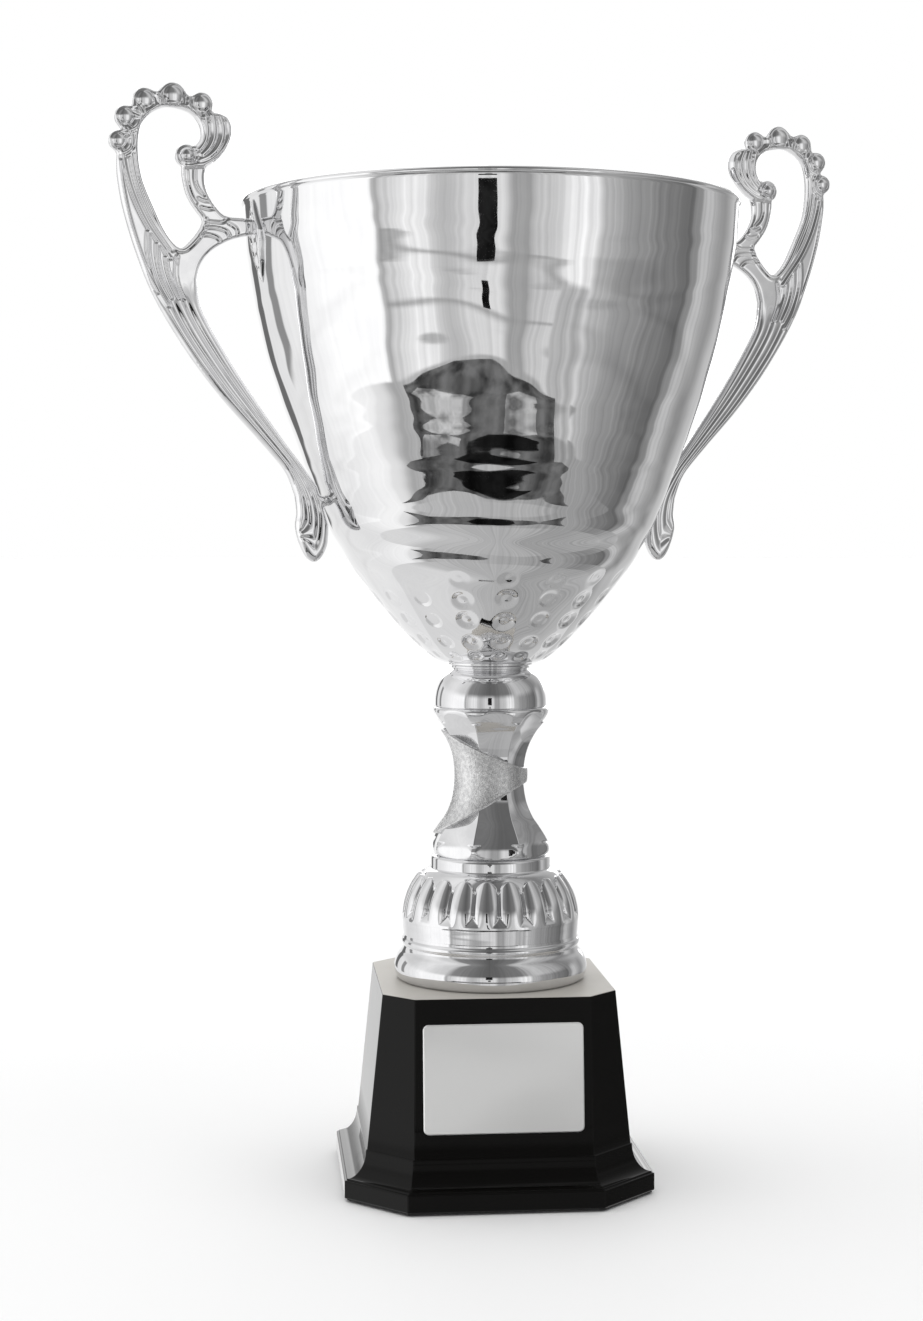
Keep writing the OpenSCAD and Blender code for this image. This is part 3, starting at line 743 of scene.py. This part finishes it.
LIMB_INSIDE = [(-58.5, -131), (-51.4, -121.7), (-46, -115), (-34.9, -100), (-24.1, -84.3), (-14.3, -68),
               (-11.2, -60.5), (-10.2, -52.5)]
ARM_UNDER = [(-10.2, -52.5), (-11.8, -46.7), (-15, -42.3), (-19.5, -39), (-25.5, -36.3), (-33.5, -35),
             (-45, -38)]
LOOP_EDGE = [(-10, -1.2), (-11.6, 0.8), (-12, 4), (-11, 7.3), (-8, 10.3), (-2.5, 11.9), (2.5, 11.7),
             (7.3, 9.4), (10.6, 5.6), (12, 0), (12.1, -6.5), (11.1, -13.5), (9.3, -19), (6.3, -25.7),
             (3, -32.7), (-0.3, -37.7), (-3.5, -40.3), (-6.5, -38.6), (-10.7, -33.7), (-12.3, -29.7),
             (-10.7, -27.3), (-7.7, -23.2), (-5.6, -18.5), (-4.3, -11), (-5.2, -6), (-8, -2.2), (-10, -1.2)]


def polar(angle, distance):
    return np.array([distance * math.cos(math.radians(angle)), distance * math.sin(math.radians(angle))])


def distance_to(points, line):
    """Distance from each point to a broken line."""
    best = np.full(len(points), 1e9)
    for a, b in zip(line[:-1], line[1:]):
        span = b - a
        length = max(float(span @ span), 1e-12)
        t = np.clip(((points - a) @ span) / length, 0, 1)
        best = np.minimum(best, np.linalg.norm(points - a - t[:, None] * span, axis=1))
    return best


def signed(points, ring):
    """Signed distance to a closed outline, negative inside."""
    ring = np.vstack([ring, ring[:1]])
    inside = np.zeros(len(points), bool)
    for a, b in zip(ring[:-1], ring[1:]):
        crosses = (a[1] > points[:, 1]) != (b[1] > points[:, 1])
        with np.errstate(divide="ignore", invalid="ignore"):
            x = (b[0] - a[0]) * (points[:, 1] - a[1]) / (b[1] - a[1]) + a[0]
        inside ^= crosses & (points[:, 0] < x)
    return distance_to(points, ring) * np.where(inside, -1, 1)


def soft_min(a, b, blend):
    h = np.clip(0.5 + 0.5 * (b - a) / blend, 0, 1)
    return b + (a - b) * h - blend * h * (1 - h)


def handle_outline(points):
    """Signed distance to the handle's outline, seen square to its plane."""
    crest_arc = np.array([polar(a, CREST_OUT) for a in np.linspace(142, -6, 40)])
    body = np.vstack([spline(ARM_TOP), spline(SHELL_EDGE), crest_arc, spline(LIMB_OUTSIDE), spline(TAIL_EDGE),
                      spline(LIMB_INSIDE), spline(ARM_UNDER)])
    shape = signed(points, body)
    for angle, distance, radius in BEADS:
        shape = soft_min(shape, np.linalg.norm(points - polar(angle, distance), axis=1) - radius, 2.4)
    shape = soft_min(shape, np.linalg.norm(points - VOLUTE, axis=1) - VOLUTE_R, 0.8)
    loop = signed(points, spline(LOOP_EDGE)[:-1])
    eye = np.maximum(loop, VOLUTE_R - 0.1 - np.linalg.norm(points - VOLUTE, axis=1))
    shape = np.maximum(shape, -eye)
    # Boss for the lower screw, between the wall and the limb
    boss_z = SEAT_Z + 65
    boss_up = boss_z - CREST[1]
    boss = np.array([[wall_radius(boss_z) - CREST[0] - 1, boss_up], [-54.0, boss_up - 1.2]])
    shape = soft_min(shape, distance_to(points, boss) - 2.3, 1.6)
    world = points + CREST
    return np.maximum(shape + SHRINK, (wall_radius(world[:, 1]) - 0.4 - world[:, 0]) * 0.95)


# Edges that the limb's rolls run between, from the notch down to the tail
ROLLS_OUTER = [(10.4, -52.0), (6.2, -60.5), (0, -71), (-6.6, -80.8), (-20.1, -97.8), (-35.5, -114.2),
               (-40.6, -119.6), (-45.3, -125.5), (-49.3, -135), (-50, -141.5), (-49.4, -147)]
ROLLS_INNER = [(-10.2, -52.5), (-11.2, -60.5), (-14.3, -68), (-24.1, -84.3), (-34.9, -100), (-46, -115),
               (-51.4, -121.7), (-58.5, -131), (-62.5, -140), (-63.2, -147), (-62.4, -154.7), (-60.2, -159),
               (-57.2, -161), (-54, -159.2), (-51.2, -154)]
# Width of a roll, and of the plain strip inside them, as shares of the limb
ROLL_SHARE = 0.32
PLAIN_SHARE = 0.04


def limb_rolls(points):
    """Long parallel rolls down the limb, which curl out at the tail."""
    outer = distance_to(points, spline(ROLLS_OUTER))
    inner = distance_to(points, spline(ROLLS_INNER))
    share = inner / np.maximum(outer + inner, 1e-6)
    wave = np.sin(math.pi * (share - PLAIN_SHARE) / ROLL_SHARE)
    return 0.8 * np.sqrt(wave**2 + 0.06) * smooth_step(-points[:, 1], 52, 66)


# Raised rolls: line, half width, height
ROLLS = [
    ([(-20.4, 10.6), (-22.9, 8.2), (-23.4, 5), (-22.9, 1.4), (-20.7, -3), (-17.2, -6.4), (-12.5, -8.7),
      (-5.5, -9.2)], 1.45, 1.15),
    ([(-18.6, 10.4), (-20.2, 6), (-20.0, 1.6), (-18.0, -2.6), (-14.6, -5.8), (-11, -7.4)], 1.45, 1.15),
    ([(-15.9, 10.9), (-17.0, 6), (-16.7, 1.4), (-14.9, -2.4), (-12.2, -5.2)], 1.45, 1.15),
    ([(-13.2, 9.6), (-14.0, 5), (-13.7, 1.2), (-12.4, -1.6), (-11, -3.4)], 1.45, 1.15),
    ([(19.0, -5), (17.6, -13), (15.0, -21.5), (11.6, -29), (8.4, -34.4), (4.2, -40), (0.6, -45)], 0.9, 0.7),
    ([(15.6, -1), (15.2, -9), (13.6, -17), (10.6, -25), (7.2, -31.4), (3.2, -37.4), (-0.4, -42)], 0.9, 0.7),
    ([(9.0, -35.2), (9.2, -42), (8.0, -49), (5.0, -57), (1.4, -63)], 0.95, 0.7),
    ([(5.6, -39.6), (5.4, -46), (3.6, -53), (0.2, -60)], 0.9, 0.7),
    ([(2.2, -44.6), (1.6, -49.5), (-0.4, -55), (-3.0, -60)], 0.8, 0.65),
    ([(19.2, -9), (19.0, -16), (16.8, -28), (12.0, -43.5), (5.4, -58)], 0.7, 0.55),
]
# Cut lines: line, half width, depth
GROOVES = [
    ([(-2.1, -44.0), (-1.5, -49), (-2.0, -54), (-4.4, -60)], 0.7, 0.8),
    ([(-9.3, -10), (-9.2, -14.5), (-10.4, -18), (-12.8, -20.4)], 0.6, 0.6),
    ([(-6.2, -11), (-6.6, -16), (-8, -20.5), (-10, -23.6)], 0.5, 0.35),
    ([(-16.4, -21.9), (-13.6, -22.4), (-10.6, -21.4)], 0.55, 0.6),
    ([(-18.4, -24.6), (-15.2, -25.4), (-11.6, -24.8)], 0.55, 0.6),
    ([(-23.4, -27.6), (-20.6, -30), (-17.6, -30.3), (-12.6, -30.1)], 0.55, 0.7),
    ([(-23.0, -35.6), (-21.4, -33.4), (-17.4, -32.4), (-13.0, -32.6)], 0.6, 0.6),
    ([(-19.4, -37.6), (-17.6, -36.0), (-14.6, -35.2), (-11.4, -35.6)], 0.6, 0.6),
    ([(-26.4, -36.0), (-25.6, -32.4), (-22.4, -30.4)], 0.5, 0.45),
    ([(-30.2, -35.4), (-30.6, -31.6), (-30.0, -27.6)], 0.5, 0.45),
]


def raised_lines():
    """Every raised roll: those in ROLLS, one round the loop, and two crescents outside each bead."""
    lines = [(spline(points), width, height) for points, width, height in ROLLS]
    loop = spline(LOOP_EDGE[1:20])
    step = np.gradient(loop, axis=0)
    step /= np.linalg.norm(step, axis=1)[:, None]
    outward = np.stack([-step[:, 1], step[:, 0]], -1)
    lines.append((loop + 1.35 * outward, 1.35, 0.75))
    for angle, distance, radius in BEADS:
        for gap, width, height, last in ((1.1, 0.85, 1.1, 262), (2.7, 0.8, 0.8, 250)):
            turns = angle + np.linspace(118, last, 16)
            crescent = arc(*polar(angle, distance), radius + gap, radius + gap, turns)
            lines.append((np.array(crescent), width, height))
    return lines


def relief(points, lines):
    """Height of round-backed lines over their surroundings, the highest where they cross."""
    total = np.zeros(len(points))
    for line, width, height in lines:
        d = distance_to(points, line) / width
        total = np.maximum(total, height * np.clip(1 - d * d, 0, None))
    return total


def handle_height(points, depth):
    """Half thickness of the casting over its plane. depth is how far a point lies inside the outline."""
    edge = 1.15
    base = 2.0
    soft = 1.3
    h = base - (base - edge) * (1 - np.clip(depth / soft, 0, 1)) ** 2
    raised = relief(points, raised_lines())
    cut = relief(points, [(spline(line), width, height) for line, width, height in GROOVES])
    inset = smooth_step(depth, 0, 0.9)
    rolls = limb_rolls(points) * smooth_step(depth, 0, 1.6)
    h = h + raised * inset + rolls - cut * smooth_step(depth, 0, 0.8)
    # The crest is sunk behind its beads, and the volute is a ball
    for angle, distance, radius in BEADS:
        away = np.linalg.norm(points - polar(angle, distance), axis=1)
        h -= 0.55 * np.exp(-(((away - 0.74 * radius) / 0.55) ** 2)) * inset
        d = away / (0.62 * radius)
        h = np.maximum(h, np.where(d < 1, 1.75 + 0.8 * np.sqrt(np.clip(1 - d * d, 0, 1)), 0))
    away = np.linalg.norm(points - VOLUTE, axis=1)
    h -= 0.6 * np.exp(-(((away - 0.72 * VOLUTE_R) / 0.6) ** 2)) * inset
    d = away / (0.62 * VOLUTE_R)
    return np.maximum(h, np.where(d < 1, 1.8 + 1.9 * np.sqrt(np.clip(1 - d * d, 0, 1)), 0))


def handle_mesh():
    """Marching squares over the outline, then a front and a back face joined round every edge."""
    pitch = 0.36
    xs = np.arange(-66, 26, pitch)
    zs = np.arange(-163, 24, pitch)
    gx, gz = np.meshgrid(xs, zs)
    flat = np.stack([gx.ravel(), gz.ravel()], -1)
    value = handle_outline(flat).reshape(gx.shape)
    value[np.abs(value) < 1e-4] = 1e-4
    columns = len(xs)
    points, index_of = [], {}

    def corner(i, j):
        key = ("c", i, j)
        if key not in index_of:
            index_of[key] = len(points)
            points.append((xs[j], zs[i]))
        return index_of[key]

    def crossing(i, j, i2, j2):
        key = ("e", min((i, j), (i2, j2)), max((i, j), (i2, j2)))
        if key not in index_of:
            a, b = value[i, j], value[i2, j2]
            t = a / (a - b)
            index_of[key] = len(points)
            points.append((xs[j] + (xs[j2] - xs[j]) * t, zs[i] + (zs[i2] - zs[i]) * t))
        return index_of[key]

    faces = []
    inside = value < 0
    cells = inside[:-1, :-1] | inside[1:, :-1] | inside[:-1, 1:] | inside[1:, 1:]
    for i, j in zip(*np.nonzero(cells)):
        ring = [(i, j), (i, j + 1), (i + 1, j + 1), (i + 1, j)]
        outline = []
        for k in range(4):
            p, q = ring[k], ring[(k + 1) % 4]
            if inside[p]:
                outline.append(corner(*p))
            if inside[p] != inside[q]:
                outline.append(crossing(*p, *q))
        if len(outline) > 2:
            faces.append(outline)
    plane = np.array(points)
    depth = np.clip(-handle_outline(plane), 0, None)
    half = handle_height(plane, depth)
    count = len(plane)
    front = np.stack([plane[:, 0], -half, plane[:, 1]], -1)
    back = np.stack([plane[:, 0], half, plane[:, 1]], -1)
    edges = {}
    for face in faces:
        for a, b in zip(face, face[1:] + face[:1]):
            if edges.pop((b, a), None) is None:
                edges[(a, b)] = True
    rim = sorted({a for a, _ in edges})
    rim_index = {a: count * 2 + k for k, a in enumerate(rim)}
    grad = np.zeros((len(rim), 2))
    at = plane[rim]
    for k in (0, 1):
        shift = np.zeros(2)
        shift[k] = 0.05
        grad[:, k] = handle_outline(at + shift) - handle_outline(at - shift)
    grad /= np.maximum(np.linalg.norm(grad, axis=1), 1e-9)[:, None]
    middle = at + 0.22 * grad
    middle_points = np.stack([middle[:, 0], np.zeros(len(rim)), middle[:, 1]], -1)
    all_faces = [list(f) for f in faces]
    all_faces += [[count + a for a in reversed(f)] for f in faces]
    for a, b in edges:
        ma, mb = rim_index[a], rim_index[b]
        all_faces.append([b, a, ma, mb])
        all_faces.append([mb, ma, count + a, count + b])
    return np.vstack([front, back, middle_points]), all_faces


def leaf_pad():
    """Leaf-shaped foot that lies on the bowl where the upper arm meets it."""
    rows, columns = 60, 24
    low, high = RIM_Z - 35.5, RIM_Z - 3.2
    t = np.linspace(0, 1, rows)
    z = low + (high - low) * t
    width = 7.0 * np.interp(t, [0, 0.06, 0.25, 0.5, 0.62, 0.8, 0.95, 1],
                            [0.03, 0.22, 0.62, 0.98, 1.0, 0.55, 0.2, 0.03])
    across = np.linspace(-1, 1, columns)[None, :]
    spread = across * width[:, None]
    crown = 1 - np.abs(across) ** 7
    beads = 1.0 * np.abs(np.sin(z * 0.62))[:, None] * np.exp(-((across / 0.45) ** 2))
    brim = 0.5 * np.exp(-(((np.abs(across) - 0.8) / 0.13) ** 2))
    height = (1.6 + beads + brim) * crown * np.sqrt(np.clip(np.sin(math.pi * t), 0.02, 1))[:, None]
    base = wall_radius(z)[:, None]

    def skin(lift):
        return around(base + lift, z[:, None], spread / base).reshape(rows, columns, 3)

    top, under = skin(height), skin(np.full_like(spread, -0.45))
    rings = np.concatenate([top, under[:, ::-1]], axis=1)
    faces = grid_faces(rows, 2 * columns)
    count = 2 * columns
    faces += [list(range(count))[::-1], [(rows - 1) * count + k for k in range(count)]]
    return rings.reshape(-1, 3) - (CREST[0], 0, CREST[1]), faces


def handles():
    body, body_faces = handle_mesh()
    pad, pad_faces = leaf_pad()
    points = np.vstack([body, pad]) + (CREST[0], 0, CREST[1])
    faces = body_faces + [[i + len(body) for i in f] for f in pad_faces]
    made = []
    for node, turn in (("handle_right", HANDLE_TURN), ("handle_left", HANDLE_TURN + math.pi)):
        spin = np.array(Matrix.Rotation(turn, 3, "Z"))
        piece = make_piece("scroll_" + node, points @ spin.T, faces, CAST, node)
        relax = piece.modifiers.new("soften", "SMOOTH")
        relax.factor = 0.5
        relax.iterations = 4
        made.append(piece)
    return made


# ---------------------------------------------------------------- stage

# Brightness of the room over azimuth, in degrees from the camera, in four bands of elevation
EYE_BAND = [(-180, 1.0), (-140, 0.85), (-121, 0.9), (-80, 1.15), (-57, 1.15), (-54, 0.42),
            (-50, 0.72), (-34, 0.95), (-21, 0.54), (-7, 0.74), (6, 0.74), (10, 0.40), (16, 0.38),
            (22, 0.58), (30, 0.64),
            (37, 0.95), (45, 0.95), (54, 0.50), (67, 0.33), (92, 0.21), (104, 0.16), (110, 0.28), (116, 0.55),
            (135, 0.33), (152, 0.56), (180, 1.0)]
TABLE_BAND = [(-180, 0.9), (-120, 0.85), (-78, 1.0), (-66, 0.8), (-56, 0.42), (-48, 0.5), (-25, 0.48),
              (20, 0.40),
              (45, 0.34), (60, 0.36), (92, 0.26), (120, 0.40), (138, 0.70), (180, 0.9)]
LOW_BAND = [(-180, 0.75), (-90, 0.75), (-60, 0.55), (-20, 0.48), (30, 0.46), (60, 0.36), (110, 0.40),
            (150, 0.60), (180, 0.75)]
HIGH_BAND = [(-180, 0.75), (-130, 0.7), (-90, 0.9), (-60, 0.7), (-45, 0.25), (0, 0.13), (35, 0.2), (60, 0.6),
             (85, 0.45), (110, 0.25), (150, 0.5), (180, 0.75)]
# Flats in front of the bands: azimuth from and to, elevation from and to, softness, brightness
FLATS = [
    (-54, 36, -13.0, -12.0, 0.9, 0.34),
    (-54, 36, -21.6, -20.4, 1.0, 0.36),
    (158, 184, 4, 26, 2, 2.2),
    (-184, -158, 4, 26, 2, 2.2),
    (33, 49, -31, -12, 1.2, 0.5),
    (-158, -146, -12, 10, 1.0, 0.16),
    (-132, -124, -13, 10, 1.0, 0.30),
]
# Soft darker bands that the wall's rings bend: the same, with the share of light they keep
VEILS = [(46, 150, -14, -11, 2.2, 0.84), (46, 150, -24, -20.5, 2.2, 0.84),
         (-150, -62, -13.5, -11.5, 1.8, 0.92), (-150, -62, -24, -21.5, 1.8, 0.92)]
# Dark and light cards that only reflections see: brightness, height, then corners in millimetres,
# to the right of the camera's line and towards the camera
CARDS = [
    (0.10, 0.2, [(-365, 165), (-270, 290), (-150, 350), (0, 382), (120, 368), (226, 320), (315, 225),
                 (300, 340), (262, 365), (345, 484), (180, 570), (0, 650), (-240, 650), (-390, 580),
                 (-500, 490), (-400, 400), (-320, 352), (-350, 300)]),
    (0.008, 0.5, [(-170, 402), (-80, 387), (0, 386), (90, 378), (195, 392), (100, 450), (0, 478),
                  (-90, 460)]),
    (0.36, 0.5, [(-400, 440), (-300, 440), (-150, 480), (-90, 520), (-150, 545), (-300, 550), (-400, 520)]),
    (0.36, 0.5, [(-330, 350), (-200, 425), (-140, 440), (-130, 460), (-220, 465), (-330, 400)]),
    (0.30, 0.5, [(60, 470), (130, 440), (210, 450), (220, 490), (140, 520), (70, 510)]),
]
# The camera on its stand: distance from the axis, then left, right, bottom and top
STAND = [(960, -88, 44, 165, 420), (970, -42, 12, 20, 122)]


def camera():
    """At the viewpoint that the cup's rim, plinth and handles agree on."""
    data = bpy.data.cameras.new("camera")
    data.sensor_width = 36
    data.lens = 63.63
    eye = bpy.data.objects.new("camera", data)
    bpy.context.scene.collection.objects.link(eye)
    heading, pitch = math.radians(5.4), math.radians(3.227)
    distance, aside, up = 948, 11.8, 263.7
    ahead = Vector((math.sin(heading), math.cos(heading), 0))
    right = Vector((math.cos(heading), -math.sin(heading), 0))
    eye.location = (-ahead * distance - right * aside + Vector((0, 0, up))) * MM
    look = ahead * math.cos(pitch) - Vector((0, 0, math.sin(pitch)))
    eye.rotation_mode = "QUATERNION"
    eye.rotation_quaternion = look.to_track_quat("-Z", "Y")
    data.clip_start, data.clip_end = 0.01, 50
    bpy.context.scene.camera = eye


def world():
    """A soft white room with grey flats around the camera. Its table is darker than its walls."""
    scene = bpy.context.scene
    scene.world = bpy.data.worlds.new("studio")
    scene.world.use_nodes = True
    tree = scene.world.node_tree
    nodes, link = tree.nodes, tree.links.new
    background = nodes["Background"]
    background.inputs["Color"].default_value = (1, 1, 1, 1)
    place = nodes.new("ShaderNodeTexCoord").outputs["Generated"]
    split = nodes.new("ShaderNodeSeparateXYZ")
    link(place, split.inputs[0])

    def maths(kind, *values):
        node = nodes.new("ShaderNodeMath")
        node.operation = kind
        for socket, value in zip(node.inputs, values):
            if isinstance(value, (int, float)):
                socket.default_value = value
            else:
                link(value, socket)
        return node.outputs[0]

    def rise(value, low, high):
        """0 below low, 1 above high."""
        node = nodes.new("ShaderNodeMapRange")
        node.interpolation_type = "SMOOTHSTEP"
        node.inputs["From Min"].default_value = low
        node.inputs["From Max"].default_value = high
        link(value, node.inputs["Value"])
        return node.outputs["Result"]

    def blend(first, second, share):
        kept = maths("MULTIPLY", first, maths("SUBTRACT", 1, share))
        return maths("ADD", kept, maths("MULTIPLY", second, share))

    def inside(value, low, high, soft):
        return maths("MULTIPLY", rise(value, low - soft, low + soft),
                     maths("SUBTRACT", 1, rise(value, high - soft, high + soft)))

    # Azimuth 0 points from the cup to the camera, and grows to the right of the picture
    heading = math.radians(-96)
    along = maths("ADD", maths("MULTIPLY", split.outputs[0], math.cos(heading)),
                  maths("MULTIPLY", split.outputs[1], math.sin(heading)))
    aside = maths("ADD", maths("MULTIPLY", split.outputs[0], -math.sin(heading)),
                  maths("MULTIPLY", split.outputs[1], math.cos(heading)))
    azimuth = maths("MULTIPLY", maths("ARCTAN2", aside, along), 180 / math.pi)
    elevation = maths("MULTIPLY", maths("ARCSINE", split.outputs[2]), 180 / math.pi)
    turn = maths("ADD", maths("DIVIDE", azimuth, 360), 0.5)

    def band(stops):
        """Brightness over azimuth, from stops of degrees and level."""
        ramp = nodes.new("ShaderNodeValToRGB")
        ramp.color_ramp.interpolation = "EASE"
        elements = ramp.color_ramp.elements
        while len(elements) > 1:
            elements.remove(elements[-1])
        for k, (at, level) in enumerate(stops):
            stop = elements[0] if k == 0 else elements.new(at / 360 + 0.5)
            stop.position = at / 360 + 0.5
            stop.color = (level, level, level, 1)
        link(turn, ramp.inputs[0])
        return ramp.outputs[0]

    # The far edge of the table runs aslant behind the cup's left to right
    slant = maths("MULTIPLY", maths("MINIMUM", maths("MAXIMUM", azimuth, -60.0), 60.0), 0.065)
    skewed = maths("ADD", elevation, slant)
    level = blend(band(LOW_BAND), band(TABLE_BAND), rise(elevation, -43.4, -42.2))
    level = blend(level, band(EYE_BAND), rise(skewed, -29.6, -28.6))
    level = blend(level, band(HIGH_BAND), rise(elevation, 9, 22))
    for a0, a1, e0, e1, soft, bright in FLATS:
        mask = maths("MULTIPLY", inside(azimuth, a0, a1, soft), inside(skewed, e0, e1, soft))
        level = blend(level, bright, mask)
    for a0, a1, e0, e1, soft, kept in VEILS:
        mask = maths("MULTIPLY", inside(azimuth, a0, a1, 9), inside(elevation, e0, e1, soft))
        level = maths("MULTIPLY", level, maths("SUBTRACT", 1, maths("MULTIPLY", mask, 1 - kept)))
    streaks = nodes.new("ShaderNodeTexNoise")
    streaks.noise_dimensions = "1D"
    streaks.inputs["Scale"].default_value = 0.32
    streaks.inputs["Detail"].default_value = 4
    link(azimuth, streaks.inputs["W"])
    change = maths("SUBTRACT", maths("MULTIPLY", streaks.outputs["Fac"], 2), 1)
    reach = maths("ADD", 0.06, maths("MULTIPLY", inside(azimuth, -54, 125, 2), 0.24))
    level = maths("MULTIPLY", level, maths("ADD", 1, maths("MULTIPLY", change, reach)))
    seen = nodes.new("ShaderNodeLightPath").outputs["Is Camera Ray"]
    link(blend(level, 1.0, seen), background.inputs["Strength"])


def floor():
    """A plain white floor. Reflections see the room's own table instead."""
    material = bpy.data.materials.new("floor")
    material.use_nodes = True
    shader = material.node_tree.nodes["Principled BSDF"]
    shader.inputs["Base Color"].default_value = (0.9, 0.9, 0.9, 1)
    shader.inputs["Roughness"].default_value = 0.9
    shader.inputs["Specular IOR Level"].default_value = 0.0
    half, drop = 20, -0.0004
    mesh = bpy.data.meshes.new("floor")
    mesh.from_pydata([(-half, -half, drop), (half, -half, drop), (half, half, drop), (-half, half, drop)],
                     [], [(0, 1, 2, 3)])
    mesh.materials.append(material)
    sheet = bpy.data.objects.new("floor", mesh)
    bpy.context.scene.collection.objects.link(sheet)
    sheet.visible_glossy = False


def glossy_only(name, corners, level):
    """A flat sheet, unevenly bright, that shows in reflections and nowhere else."""
    material = bpy.data.materials.new(name)
    material.use_nodes = True
    shader = material.node_tree.nodes["Principled BSDF"]
    shader.inputs["Base Color"].default_value = (0, 0, 0, 1)
    shader.inputs["Specular IOR Level"].default_value = 0.0
    shader.inputs["Emission Color"].default_value = (1, 1, 1, 1)
    tree = material.node_tree
    place = tree.nodes.new("ShaderNodeTexCoord").outputs["Object"]
    cloud = tree.nodes.new("ShaderNodeTexNoise")
    cloud.inputs["Scale"].default_value = 11
    cloud.inputs["Detail"].default_value = 3
    tree.links.new(place, cloud.inputs["Vector"])
    spread = tree.nodes.new("ShaderNodeMapRange")
    dim, bright = 0.4 * level, 1.9 * level
    for key, value in (("From Min", 0.35), ("From Max", 0.65), ("To Min", dim), ("To Max", bright)):
        spread.inputs[key].default_value = value
    tree.links.new(cloud.outputs["Fac"], spread.inputs["Value"])
    tree.links.new(spread.outputs["Result"], shader.inputs["Emission Strength"])
    mesh = bpy.data.meshes.new(name)
    mesh.from_pydata([tuple(Vector(corner) * MM) for corner in corners], [], [list(range(len(corners)))])
    mesh.materials.append(material)
    sheet = bpy.data.objects.new(name, mesh)
    bpy.context.scene.collection.objects.link(sheet)
    sheet.visible_camera = False
    sheet.visible_diffuse = False
    sheet.visible_shadow = False


def studio_cards():
    ahead = Vector((math.cos(FRONT), math.sin(FRONT), 0))
    right = Vector((-math.sin(FRONT), math.cos(FRONT), 0))
    for k, (level, up, outline) in enumerate(CARDS):
        corners = [right * x + ahead * y + Vector((0, 0, up)) for x, y in outline]
        glossy_only(f"card_{k}", corners, level)
    for k, (distance, left, far, bottom, top) in enumerate(STAND):
        corners = [right * x + ahead * distance + Vector((0, 0, z))
                   for x, z in ((left, bottom), (far, bottom), (far, top), (left, top))]
        glossy_only(f"stand_{k}", corners, 0.01)


def lights():
    """One very soft light from straight above, which only fills the floor and the tops."""
    data = bpy.data.lights.new("overhead", "SUN")
    data.angle = math.radians(100)
    data.energy = 1.9
    light = bpy.data.objects.new("overhead", data)
    bpy.context.scene.collection.objects.link(light)
    light.location = (0, 0, 2)
    light.visible_glossy = False


def restyle():
    """Materials for the CAD nodes that keep their own shape."""
    for names, material in (
        (("handle_screws", "bowl_washer", "rod_top_nut", "rod_washer", "rod_bottom_nut"), ZINC),
        (("handle_washers",), FIBRE),
        (("rod_spring_washer",), SPRING_STEEL),
        (("plinth_weight",), IRON),
        (("plate_tape",), TAPE),
    ):
        for name in names:
            mesh = frame["nodes"][name].data
            mesh.materials.clear()
            mesh.materials.append(material)


camera()
world()
floor()
studio_cards()
lights()
bowl()
seat_disc()
knop()
column()
sash()
foot()
plinth()
felt()
plate()
threaded_rod()
handles()
restyle()
bpy.context.scene.view_settings.view_transform = "Standard"
